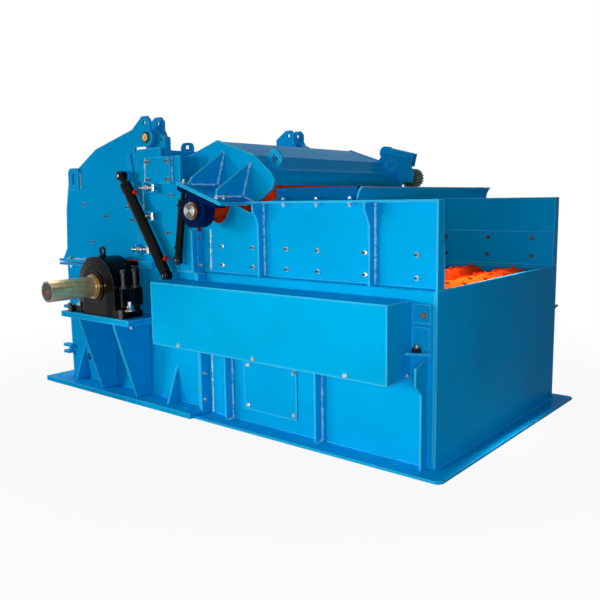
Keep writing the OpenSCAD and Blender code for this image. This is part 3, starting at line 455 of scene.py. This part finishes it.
TROUGH_BOLTS_X, TROUGH_BOLTS_Z = (0.082, 0.348, 0.619, 0.852, 1.173, 1.492), (0.990, 1.109)
LINER_BOLTS_X, LINER_BOLTS_Z = (0.855, 1.174, 1.491), (0.997, 1.115)
STRIP_BOLTS_X = (0.620, 0.862, 1.091)
STRIP_FOOT_TOP, RIM_UNDERSIDE = 1.396, 1.376
WALL_BOLTS = ((-0.332, 1.437), (-0.370, 1.188), (-0.140, 1.180))
TROUGH_END_X, TROUGH_END_BOLTS_Z = -0.099, (0.982, 1.154)
POST_BOLTS = ((-0.539, 1.657), (-0.336, 1.657), (-0.539, 1.541), (-0.336, 1.541))
JOINT_X, JOINT_FLANGE, JOINT_BOLTS_Z = -0.050, 0.015, (0.105, 0.285)
HOOD_FLANGE_BOLTS_X, HOOD_FLANGE_TOP, WALL_FLANGE_LOW = (-1.531, -1.331), 0.965, 0.917
HOOD_BOLTS = ((-1.333, 1.382), (-1.057, 1.293), (-1.249, 1.106), (-0.804, 1.360), (-0.754, 1.270))
COVER_BOLTS_X, COVER_BOLTS_Z = (0.333, 0.707), (0.130, 0.386)
GUARD_BOLTS_X, GUARD_BOLTS_Z = (-0.055, 0.588, 1.236), 0.497
SEAT_UNDERSIDE = SEAT_Z - 0.041
BLOCK_BOLT_RUN, BLOCK_BOLT_Y = 0.282, BLOCK_OUT - 0.082


class MILL_OT_frame_bolts(bpy.types.Operator):
    """Bolts on the trough walls, side walls, posts, section joint and bearing seats"""
    bl_idname = "mill.frame_bolts"
    bl_label = "Frame bolts"

    def execute(self, context):
        s = context.scene.mill_sizes
        bm, dull, dark, ends = bmesh.new(), bmesh.new(), bmesh.new(), bmesh.new()
        for side in (NEAR, FAR):
            for x in TROUGH_BOLTS_X:
                for z in TROUGH_BOLTS_Z:
                    add_stud(bm, at((x, side * TROUGH_Y, z), out(side), x), s.wall_bolt, ends)
            for x in STRIP_BOLTS_X:
                y = side * (TROUGH_Y + 0.025)
                add_bolt(bm, at((x, y, STRIP_FOOT_TOP)), s.wall_bolt)
                add_stud(bm, at((x, y, RIM_UNDERSIDE), -Z_AXIS), s.wall_bolt)
            for x, z in WALL_BOLTS:
                add_stud(dull, at((x, side * HALF_W, z), out(side), x), s.wall_bolt, ends)
            for z in TROUGH_END_BOLTS_Z:
                add_stud(bm, at((TROUGH_END_X, side * (TROUGH_Y + 0.024), z), X_AXIS), s.wall_bolt)
            for x, z in POST_BOLTS:
                add_stud(dull, at((x, side * POST_Y, z), out(side), x), s.wall_bolt * 1.1, ends)
            for z in JOINT_BOLTS_Z:
                for way in (1, -1):
                    face = (JOINT_X + way * JOINT_FLANGE, side * (HALF_W + 0.034), z)
                    add_stud(bm, at(face, way * X_AXIS), s.cover_bolt)
            for x in HOOD_FLANGE_BOLTS_X:
                add_stud(bm, at((x, side * (HALF_W + 0.016), WALL_FLANGE_LOW), -Z_AXIS), s.cover_bolt)
            for x in (ROTOR.x - BLOCK_BOLT_RUN, ROTOR.x + BLOCK_BOLT_RUN):
                add_stud(bm, at((x, side * BLOCK_BOLT_Y, SEAT_UNDERSIDE), -Z_AXIS), s.bearing_bolt * 0.6)
            for x in LINER_BOLTS_X:
                for z in LINER_BOLTS_Z:
                    add_cone(dark, at((x, side * (TROUGH_Y - 0.022), z), -out(side)), 0.015, 0.013, 0.005)
        piece("frame_bolts", bm, "zinc", "frame")
        piece("side_wall_bolts", dull, "dull", "frame")
        piece("liner_bolts", dark, "rotor", "frame")
        piece("stud_ends", ends, "rotor", "frame")
        return {"FINISHED"}


class MILL_OT_hood_bolts(bpy.types.Operator):
    """Bolts on the sides and the lower flange of the hood"""
    bl_idname = "mill.hood_bolts"
    bl_label = "Hood bolts"

    def execute(self, context):
        s = context.scene.mill_sizes
        bm, ends = bmesh.new(), bmesh.new()
        for side in (NEAR, FAR):
            for x, z in HOOD_BOLTS:
                add_stud(bm, at((x, side * HALF_W, z), out(side), x), s.wall_bolt, ends)
            for x in HOOD_FLANGE_BOLTS_X:
                add_stud(bm, at((x, side * (HALF_W + 0.016), HOOD_FLANGE_TOP)), s.wall_bolt)
        piece("hood_bolts", bm, "dull", "hood")
        piece("hood_stud_ends", ends, "rotor", "hood")
        return {"FINISHED"}


class MILL_OT_guard_bolts(bpy.types.Operator):
    """Bolts of the inspection cover and the chain guard"""
    bl_idname = "mill.guard_bolts"
    bl_label = "Guard bolts"

    def execute(self, context):
        s = context.scene.mill_sizes
        cover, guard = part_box("inspection_cover"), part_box("chain_guard")
        bm = bmesh.new()
        for x in COVER_BOLTS_X:
            for z in COVER_BOLTS_Z:
                add_bolt(bm, at((x, cover[0].y, z), out(NEAR), x), s.cover_bolt)
        for x in GUARD_BOLTS_X:
            add_bolt(bm, at((x, guard[0].y, GUARD_BOLTS_Z), out(NEAR), x), s.cover_bolt)
        add_bolt(bm, at((guard[1].x, guard[1].y - 0.03, GUARD_BOLTS_Z - 0.002), X_AXIS), s.cover_bolt)
        piece("guard_bolts", bm, "zinc", "frame")
        return {"FINISHED"}


class MILL_OT_bearing_trim(bpy.types.Operator):
    """Bolts and seals of the pillow blocks, facings of the rotor shaft"""
    bl_idname = "mill.bearing_trim"
    bl_label = "Bearing trim"

    def execute(self, context):
        s = context.scene.mill_sizes
        bolts, caps, seals = bmesh.new(), bmesh.new(), bmesh.new()
        rings, tips = bmesh.new(), bmesh.new()
        shaft_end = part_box("rotor_shaft")[1].y
        cap_run, pin_run, step_back = 0.222, 0.298, 0.330
        for side in (NEAR, FAR):
            for end in (-1, 1):
                for y in (BLOCK_OUT - 0.079, BLOCK_IN + 0.039):
                    split = Vector((ROTOR.x + end * cap_run, side * y, ROTOR.z - 0.008))
                    add_cone(caps, at(split), 0.026, 0.026, 0.012)
                    add_cone(caps, at(split), 0.015, 0.015, 0.112, segments=16)
                    add_bolt(caps, at(split + Z_AXIS * 0.106), 0.034, False)
                foot = (ROTOR.x + end * BLOCK_BOLT_RUN, side * BLOCK_BOLT_Y, SEAT_Z + 0.046)
                add_stud(bolts, at(foot), s.bearing_bolt)
                pin = (ROTOR.x + end * pin_run, side * (BLOCK_OUT + 0.006), SEAT_Z)
                add_cone(caps, at(pin), 0.016, 0.016, 0.064, segments=16)
            face = at((ROTOR.x, side * (BLOCK_OUT + SEAL_LIP), ROTOR.z), out(side))
            add_ring(seals, face, 0.0845, 0.0805, 0.004)
            tip = at((ROTOR.x, side * shaft_end, ROTOR.z), out(side))
            step = at((ROTOR.x, side * (shaft_end - step_back), ROTOR.z), out(side))
            add_ring(rings, tip, 0.0702, 0.060, 0.002, -0.0008)
            add_ring(rings, step, 0.0802, 0.0712, 0.002, -0.0006)
            add_ring(tips, tip, 0.0585, 0.0155, 0.0015, -0.0005)
        piece("bearing_bolts", bolts, "zinc", "frame")
        piece("bearing_caps", caps, "rotor", "frame")
        piece("bearing_seals", seals, "brass", "frame")
        piece("shaft_rings", rings, "dull", "rotor")
        piece("shaft_centres", tips, "rotor", "rotor")
        return {"FINISHED"}


class MILL_OT_clamps(bpy.types.Operator):
    """Swing clamps that hold the hood against the posts"""
    bl_idname = "mill.clamps"
    bl_label = "Clamps"

    def execute(self, context):
        spans = ((-0.627, -0.478, 1.487), (-0.655, -0.500, 1.297), (-0.736, -0.560, 1.068))
        fork = 0.028
        bm, forks = bmesh.new(), bmesh.new()
        for side in (NEAR, FAR):
            y = side * (HALF_W + 0.032)
            fork_y = side * (HALF_W + 0.025)
            for x0, x1, z in spans:
                add_cone(bm, at((x0, y, z), X_AXIS), 0.009, 0.009, x1 - x0, segments=16)
                add_bolt(bm, at((x0 + 0.030, y, z), -X_AXIS), 0.028)
                add_bolt(bm, at((x0 + 0.082, y, z), X_AXIS), 0.026)
                add_cone(bm, at((x1, y, z - fork)), 0.014, 0.014, 2 * fork, segments=16)
                for dz in (-fork, fork):
                    add_box(forks, at((x1 - 0.002, fork_y, z + dz)), (0.044, 0.050, 0.010))
                    add_box(forks, at((x0 + 0.062, fork_y, z + dz * 0.8)), (0.014, 0.050, 0.028))
        piece("clamp_bolts", bm, "zinc", "frame")
        piece("clamp_forks", forks, "blue", "frame")
        return {"FINISHED"}


class MILL_OT_cylinder_trim(bpy.types.Operator):
    """Oil port caps and pin ends of the cylinders"""
    bl_idname = "mill.cylinder_trim"
    bl_label = "Cylinder trim"

    def execute(self, context):
        self.caps("hood", Vector((-0.777, 0, 1.573)), HALF_W + 0.062, (0.097, 0.624), 0.046)
        self.caps("arm", Vector((-0.170, 0, 1.472)), HALF_W + 0.037, (), 0.022)
        return {"FINISHED"}

    def caps(self, name, top, y, ports, eye):
        """Trim of one pair: upper pin, distance from the centre plane, ports along the barrel, eye width."""
        red, pins, tops, eyes = bmesh.new(), bmesh.new(), bmesh.new(), bmesh.new()
        low = AXLES[name + "_cylinder_swing"]
        run = (top - low).normalized()
        away = Vector((run.z, 0, -run.x))
        for side in (NEAR, FAR):
            for z in ports:
                add_cone(red, at(low + out(side) * y + run * z + away * 0.049, away), 0.017, 0.015, 0.020)
            edge = out(side) * (y + eye / 2 + 0.008)
            add_cone(eyes, at(low + edge, out(side)), 0.0225, 0.020, 0.005, -0.002, 32)
            add_cone(pins, at(low + edge, out(side)), 0.008, 0.006, 0.006)
            add_cone(tops, at(top + edge, out(side)), 0.010, 0.008, 0.003)
        if ports:
            piece(name + "_port_caps", red, "red", name + "_barrels")
        piece(name + "_pin_caps", eyes, "black", "frame")
        piece(name + "_low_pins", pins, "dull", "frame")
        piece(name + "_top_pins", tops, "zinc", name + "_rods")


class MILL_OT_hinge_trim(bpy.types.Operator):
    """Ends of the hood hinge pins, and grease nipples on the pivot covers"""
    bl_idname = "mill.hinge_trim"
    bl_label = "Hinge trim"

    def execute(self, context):
        pins, bush, pin_gap_shade = bmesh.new(), bmesh.new(), bmesh.new()
        for side in (NEAR, FAR):
            wall = HINGE + out(side) * HALF_W
            add_cone(pins, at(wall + out(side) * 0.008, out(side)), 0.0235, 0.021, 0.003, segments=32)
            # Painted shade: a black ring round the pin end stands in for the shaded gap between pin and ear.
            add_ring(pin_gap_shade, at(wall, out(side)), 0.037, 0.0285, 0.005)
            add_bolt(pins, at(wall + out(side) * 0.011, out(side)), 0.019, False)
            add_ring(bush, at(wall + out(side) * 0.0005, out(side)), 0.0278, 0.024, 0.009)
            add_cone(bush, at(PIVOT + out(side) * POST_Y, out(side)), 0.005, 0.004, 0.008, segments=12)
        piece("hinge_pin_ends", pins, "shaft", "frame")
        piece("hinge_bushes", bush, "brass", "frame")
        piece("hinge_pin_gap_shade", pin_gap_shade, "black", "hood")
        return {"FINISHED"}


FOOT_X, FOOT_Z, FOOT_TILT = -0.0881, 1.5159, math.radians(19)


def on_foot(run, y, up):
    """Point above the foot plate of the arm: run along the slope, height square to it."""
    c, s = math.cos(FOOT_TILT), math.sin(FOOT_TILT)
    return Vector((FOOT_X + run * c + up * s, y, FOOT_Z - run * s + up * c))


class MILL_OT_arm_trim(bpy.types.Operator):
    """Bolts and welds of the feed arm, locking rings and facings of the feed roll shaft"""
    bl_idname = "mill.arm_trim"
    bl_label = "Arm trim"

    def execute(self, context):
        s = context.scene.mill_sizes
        foot_bolts = ((0.022, 0.945), (0.026, 0.895), (0.328, 0.945), (0.328, 0.885))
        gussets, gusset_faces = (0.046, 0.284), (-0.002, 0.016)
        up = on_foot(0, 0, 1) - on_foot(0, 0, 0)
        bearing_face, shaft_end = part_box("roll_bearings")[1].y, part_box("feed_roll_shaft")[1].y
        bolts, beads, brass, ends = bmesh.new(), bmesh.new(), bmesh.new(), bmesh.new()
        for side in (NEAR, FAR):
            plate = side * (ARM_Y + 0.001)
            for run, y in foot_bolts:
                add_stud(bolts, at(on_foot(run, side * y, 0), up), s.wall_bolt)
            for run in (x + dx for x in gussets for dx in gusset_faces):
                add_bead(beads, on_foot(run, plate, 0.004), on_foot(run, plate, 0.218), s.weld)
                add_bead(beads, on_foot(run, side * (ARM_Y + 0.002), 0.001),
                         on_foot(run, side * (ARM_Y + 0.226), 0.001), s.weld)
            add_bead(beads, on_foot(0.004, plate, 0.001), on_foot(0.402, plate, 0.001), s.weld)
            add_ring(brass, at(ROLL + out(side) * bearing_face, out(side)), 0.0535, 0.0485, 0.008)
            tip = at(ROLL + out(side) * shaft_end, out(side))
            add_cone(ends, tip, 0.0475, 0.045, 0.003, -0.0005, 40)
            add_cone(ends, tip, 0.011, 0.007, 0.004)
        piece("arm_bolts", bolts, "zinc", "feed_arm")
        piece("arm_welds", beads, "weld", "feed_arm")
        piece("locking_rings", brass, "brass", "feed_roll")
        # The shaft ends get the faced steel with its painted highlight.
        piece("roll_shaft_rims", ends, "faced", "feed_roll")
        return {"FINISHED"}


class MILL_OT_tensioner(bpy.types.Operator):
    """Bolts of the chain tensioner beside the guard, and the stub that shows past the far wall"""
    bl_idname = "mill.tensioner"
    bl_label = "Tensioner"

    def execute(self, context):
        bm, heads = bmesh.new(), bmesh.new()
        screw_x, screw_y = 1.540, -HALF_W - 0.030
        stub = at((1.630, HALF_W, 0.654), out(FAR))
        add_stud(bm, at((1.568, -HALF_W - 0.010, 0.811), out(NEAR)), 0.022)
        add_bolt(heads, at((screw_x, screw_y, 0.622)), 0.040, False)
        add_cone(bm, at((screw_x, screw_y, 0.644)), 0.013, 0.011, 0.020, segments=16)
        add_cone(heads, stub, 0.012, 0.010, 0.058, -0.002, 16)
        add_bolt(heads, stub, 0.018)
        piece("tensioner_bolts", bm, "worn", "frame")
        piece("tensioner_heads", heads, "black", "frame")
        return {"FINISHED"}


class MILL_OT_shaft_opening_shade(bpy.types.Operator):
    """Black plates on the frame and on the hood as painted shade where the rotor shaft leaves the housing,
    and red gasket strips
    """
    bl_idname = "mill.shaft_seals"
    bl_label = "Shaft seals"

    def execute(self, context):
        opening_shade_plate, opening_shade_lid, red = bmesh.new(), bmesh.new(), bmesh.new()
        for side in (NEAR, FAR):
            y = side * (HALF_W + 0.002)
            # Painted shade: black plates stand in for the shade in the shaft openings behind the pillow
            # blocks.
            add_box(opening_shade_plate, at((-0.831, y, 0.812)), (0.240, 0.006, 0.246))
            add_box(opening_shade_lid, at((-0.834, y, 0.964)), (0.234, 0.006, 0.030))
            add_box(red, at((-0.794, y + side * 0.001, 0.984)), (0.150, 0.008, 0.010))
        piece("shaft_seals", opening_shade_plate, "black", "frame")
        piece("shaft_opening_shade_tops", opening_shade_lid, "black", "hood")
        piece("gasket_strips", red, "red", "hood")
        return {"FINISHED"}


class MILL_OT_strip_hems(bpy.types.Operator):
    """Folded hems on top of the edge strips, the far one clear of the roll cover"""
    bl_idname = "mill.strip_hems"
    bl_label = "Strip hems"

    def execute(self, context):
        hem_end = 1.120
        hems = bmesh.new()
        for side, start in ((NEAR, 0.548), (FAR, 0.562)):
            middle = ((start + hem_end) / 2, side * (HALF_W - 0.057), 1.456)
            add_box(hems, at(middle), (hem_end - start, 0.012, 0.014))
        # Painted shade: the hems take the darkened strip blue.
        piece("strip_hems", hems, "deep", "frame")
        return {"FINISHED"}


LOWER_RIBS_X, TROUGH_RIBS_X, PEDESTAL_RIBS_X = (0.189, 0.910), (0.442, 1.237), (-1.066, -0.662)
RIB_FACES, PEDESTAL_RIB_FACES = (-0.012, 0.0), (-0.0125, 0.0125)


class MILL_OT_welds(bpy.types.Operator):
    """Weld beads along ribs, gussets, lugs, posts and seams"""
    bl_idname = "mill.welds"
    bl_label = "Welds"

    def execute(self, context):
        r = context.scene.mill_sizes.weld
        bm, plain, hood = bmesh.new(), bmesh.new(), bmesh.new()
        for side in (NEAR, FAR):
            self.rib_welds(bm, plain, side, r)
            self.post_welds(bm, side, r)
            self.seams(plain, side, r * 0.8)
            self.hood_welds(hood, side, r)
        add_bead(plain, (1.640, -0.80, 0.018), (1.640, 0.80, 0.018), r * 0.8)
        piece("seam_welds", plain, "blue", "frame")
        piece("frame_welds", bm, "weld", "frame")
        piece("hood_welds", hood, "weld", "hood")
        return {"FINISHED"}

    def rib_welds(self, bm, plain, side, r):
        y, trough_y = side * HALF_W, side * TROUGH_Y
        for x in LOWER_RIBS_X:
            for dx in RIB_FACES:
                add_bead(bm, (x + dx, y, 0.018), (x + dx, y, 0.460), r)
            add_bead(bm, (x + 0.002, y, 0.016), (x + 0.002, y + side * 0.060, 0.016), r)
        for x in (rib + dx for rib in TROUGH_RIBS_X for dx in RIB_FACES):
            add_bead(bm, (x, trough_y, 0.940), (x, trough_y, 1.372), r)
        for x in (rib + dx for rib in PEDESTAL_RIBS_X for dx in PEDESTAL_RIB_FACES):
            add_bead(plain, (x, y, 0.040), (x, y, 0.576), r)
            add_bead(plain, (x, y, 0.038), (x, y + side * 0.110, 0.038), r)
            add_bead(plain, (x, y, 0.579), (x, y + side * 0.270, 0.579), r)
        add_bead(plain, (-1.250, y, 0.622), (-0.470, y, 0.622), r)

    def post_welds(self, bm, side, r):
        y, trough_y = side * HALF_W, side * TROUGH_Y
        lug_y, cover_y = y + side * 0.018, y + side * 0.002
        add_bead(bm, (-0.574, lug_y, 1.530), (-0.568, lug_y, 1.688), r)
        add_bead(bm, (-0.317, cover_y, 1.516), (-0.317, cover_y, 1.686), r * 0.8)
        add_bead(bm, (-0.125, y, 0.942), (-0.125, y, 1.206), r)
        add_bead(bm, (-0.026, trough_y, 0.950), (-0.020, trough_y, 1.216), r)
        add_bead(bm, (-0.628, y, 1.150), (-0.628, y, 1.510), r * 0.7)
        add_bead(bm, (0.008, y, 0.020), (0.008, y, 0.440), r * 0.8)

    def seams(self, bm, side, r):
        y, trough_y = side * HALF_W, side * TROUGH_Y
        add_bead(bm, (-0.026, trough_y, 0.944), (1.620, trough_y, 0.944), r)
        add_bead(bm, (-1.600, y, 0.039), (-0.070, y, 0.039), r)
        add_bead(bm, (-0.030, y, 0.018), (1.620, y, 0.018), r)

    def hood_welds(self, bm, side, r):
        y = side * HALF_W
        for x in (-1.364, -1.492):
            add_bead(bm, (x, y, 1.494), (x, y, 1.620), r)
        add_bead(bm, (-1.600, y, 0.967), (-1.125, y, 0.967), r * 0.8)


# Lamps: name, place, aim, watts, size, spread in degrees, colour, seen in reflections

LAMPS = (
    ("key", (-4.9, -5.4, 1.9), (0, 0, 0.9), 150, 1.0, 180, (0.96, 0.97, 1.0), False),
    ("front", (-1.2, -4.7, 1.05), (1.30, -0.85, 0.70), 8.5, 1.0, 52, (1.0, 1.0, 0.76), False),
    ("low", (-1.7, -4.6, 0.6), (-0.34, -0.85, 0.34), 0.42, 0.4, 17, (1.0, 1.0, 0.86), False),
    ("fill", (3.5, -4.0, 1.35), (1.0, -0.7, 0.8), 58, 0.40, 180, (0.84, 0.94, 0.98), True),
    ("top", (-4.5, 0.8, 6.0), (0, 0, 0.9), 185, 4.0, 180, (0.86, 0.96, 1.0), True),
    ("bed", (1.20, 0.3, 4.2), (1.28, -0.05, 0.9), 8.5, 0.5, 20, (1.0, 0.94, 0.86), False),
)
CAMERA_AT, CAMERA_LENS = (3.3164, -3.9061, 1.3972), 42.306
CAMERA_TURN, CAMERA_DIP, CAMERA_ROLL = math.radians(39.66), math.radians(8.13), math.radians(-0.81)
FLOOR_HALF = 40.0


class MILL_OT_stage(bpy.types.Operator):
    """Floor, lights, background and camera"""
    bl_idname = "mill.stage"
    bl_label = "Stage"

    def execute(self, context):
        scene = context.scene
        bm = bmesh.new()
        bmesh.ops.create_grid(bm, x_segments=1, y_segments=1, size=FLOOR_HALF)
        mesh = bpy.data.meshes.new("floor")
        bm.to_mesh(mesh)
        bm.free()
        floor = bpy.data.objects.new("floor", mesh)
        scene.collection.objects.link(floor)
        mesh.materials.append(self.floor_finish())
        self.background(scene)
        for lamp in LAMPS:
            self.lamp(scene, *lamp)
        self.camera(scene)
        scene.view_settings.view_transform = "Standard"
        return {"FINISHED"}

    def seen(self, nt):
        """Value of 1 for rays that show the background to the eye, in metal and glass too."""
        path = nt.nodes.new("ShaderNodeLightPath")
        total = path.outputs["Is Camera Ray"]
        for name in ("Is Glossy Ray", "Is Transmission Ray"):
            more = node(nt, "ShaderNodeMath", operation="MAXIMUM")
            nt.links.new(total, more.inputs[0])
            nt.links.new(path.outputs[name], more.inputs[1])
            total = more.outputs[0]
        return total

    def floor_finish(self):
        """Pale floor that fades to white away from the mill and keeps its shadow."""
        mat, nt, bsdf = tree_of("pale_floor")
        tc = nt.nodes.new("ShaderNodeTexCoord")
        cloud = noise(nt, tc, 0.6, 3.0)
        tint = ramp(nt, cloud.outputs["Fac"], [(0.3, grey(0.34)), (0.7, grey(0.37))])
        nt.links.new(tint.outputs["Color"], bsdf.inputs["Base Color"])
        bsdf.inputs["Roughness"].default_value = 0.9
        away = node(nt, "ShaderNodeVectorMath", operation="LENGTH")
        nt.links.new(tc.outputs["Object"], away.inputs[0])
        fade = nt.nodes.new("ShaderNodeMapRange")
        fade.interpolation_type = "SMOOTHSTEP"
        for key, value in (("From Min", 1.6), ("From Max", 4.2), ("To Min", 0.93), ("To Max", 1.0)):
            fade.inputs[key].default_value = value
        nt.links.new(away.outputs["Value"], fade.inputs["Value"])
        share = node(nt, "ShaderNodeMath", operation="MULTIPLY")
        nt.links.new(fade.outputs["Result"], share.inputs[0])
        nt.links.new(self.seen(nt), share.inputs[1])
        white = node(nt, "ShaderNodeEmission", Color=(1, 1, 1, 1), Strength=1.0)
        mix = nt.nodes.new("ShaderNodeMixShader")
        nt.links.new(share.outputs[0], mix.inputs["Fac"])
        nt.links.new(bsdf.outputs[0], mix.inputs[1])
        nt.links.new(white.outputs[0], mix.inputs[2])
        nt.links.new(mix.outputs[0], nt.nodes["Material Output"].inputs["Surface"])
        return mat

    def background(self, scene):
        """Soft sky light on the mill, plain white to the eye."""
        world = bpy.data.worlds.new("studio")
        scene.world = world
        world.use_nodes = True
        nt = world.node_tree
        nt.nodes.clear()
        soft = node(nt, "ShaderNodeBackground", Color=(0.36, 0.62, 1.0, 1), Strength=0.12)
        white = node(nt, "ShaderNodeBackground", Color=(1, 1, 1, 1), Strength=1.0)
        mix = nt.nodes.new("ShaderNodeMixShader")
        output = nt.nodes.new("ShaderNodeOutputWorld")
        nt.links.new(self.seen(nt), mix.inputs["Fac"])
        nt.links.new(soft.outputs[0], mix.inputs[1])
        nt.links.new(white.outputs[0], mix.inputs[2])
        nt.links.new(mix.outputs[0], output.inputs["Surface"])

    def lamp(self, scene, name, pos, aim, watts, size, spread, rgb, mirrored):
        data = bpy.data.lights.new(name, "AREA")
        data.energy = watts
        data.size = size
        data.spread = math.radians(spread)
        data.color = rgb
        obj = bpy.data.objects.new(name, data)
        look = Vector(aim) - Vector(pos)
        obj.matrix_world = Matrix.Translation(pos) @ look.to_track_quat("-Z", "Y").to_matrix().to_4x4()
        obj.visible_glossy = mirrored
        scene.collection.objects.link(obj)

    def camera(self, scene):
        data = bpy.data.cameras.new("camera")
        data.sensor_width = 36.0
        data.lens = CAMERA_LENS
        data.clip_end = 200
        obj = bpy.data.objects.new("camera", data)
        look = Matrix.Rotation(CAMERA_TURN, 4, "Z") @ Matrix.Rotation(math.pi / 2 - CAMERA_DIP, 4, "X")
        obj.matrix_world = Matrix.Translation(CAMERA_AT) @ look @ Matrix.Rotation(CAMERA_ROLL, 4, "Z")
        scene.collection.objects.link(obj)
        scene.camera = obj


class MILL_PT_panel(bpy.types.Panel):
    """Lists the steps that dress the mill"""
    bl_label = "Mill"
    bl_idname = "MILL_PT_panel"
    bl_space_type = "VIEW_3D"
    bl_region_type = "UI"
    bl_category = "Mill"

    def draw(self, context):
        for cls in STEPS:
            self.layout.operator(cls.bl_idname)


STEPS = (MILL_OT_finishes, MILL_OT_frame_bolts, MILL_OT_hood_bolts, MILL_OT_guard_bolts,
         MILL_OT_bearing_trim, MILL_OT_clamps, MILL_OT_cylinder_trim, MILL_OT_hinge_trim,
         MILL_OT_arm_trim, MILL_OT_tensioner, MILL_OT_shaft_opening_shade, MILL_OT_strip_hems,
         MILL_OT_welds, MILL_OT_stage)
CLASSES = (MillColours, MillSizes, *STEPS, MILL_PT_panel)


def register():
    for cls in CLASSES:
        bpy.utils.register_class(cls)
    bpy.types.Scene.mill_colours = PointerProperty(type=MillColours)
    bpy.types.Scene.mill_sizes = PointerProperty(type=MillSizes)


def unregister():
    del bpy.types.Scene.mill_sizes
    del bpy.types.Scene.mill_colours
    for cls in reversed(CLASSES):
        bpy.utils.unregister_class(cls)


def main():
    register()
    for cls in STEPS:
        group, name = cls.bl_idname.split(".")
        getattr(getattr(bpy.ops, group), name)()


if __name__ == "__main__":
    main()
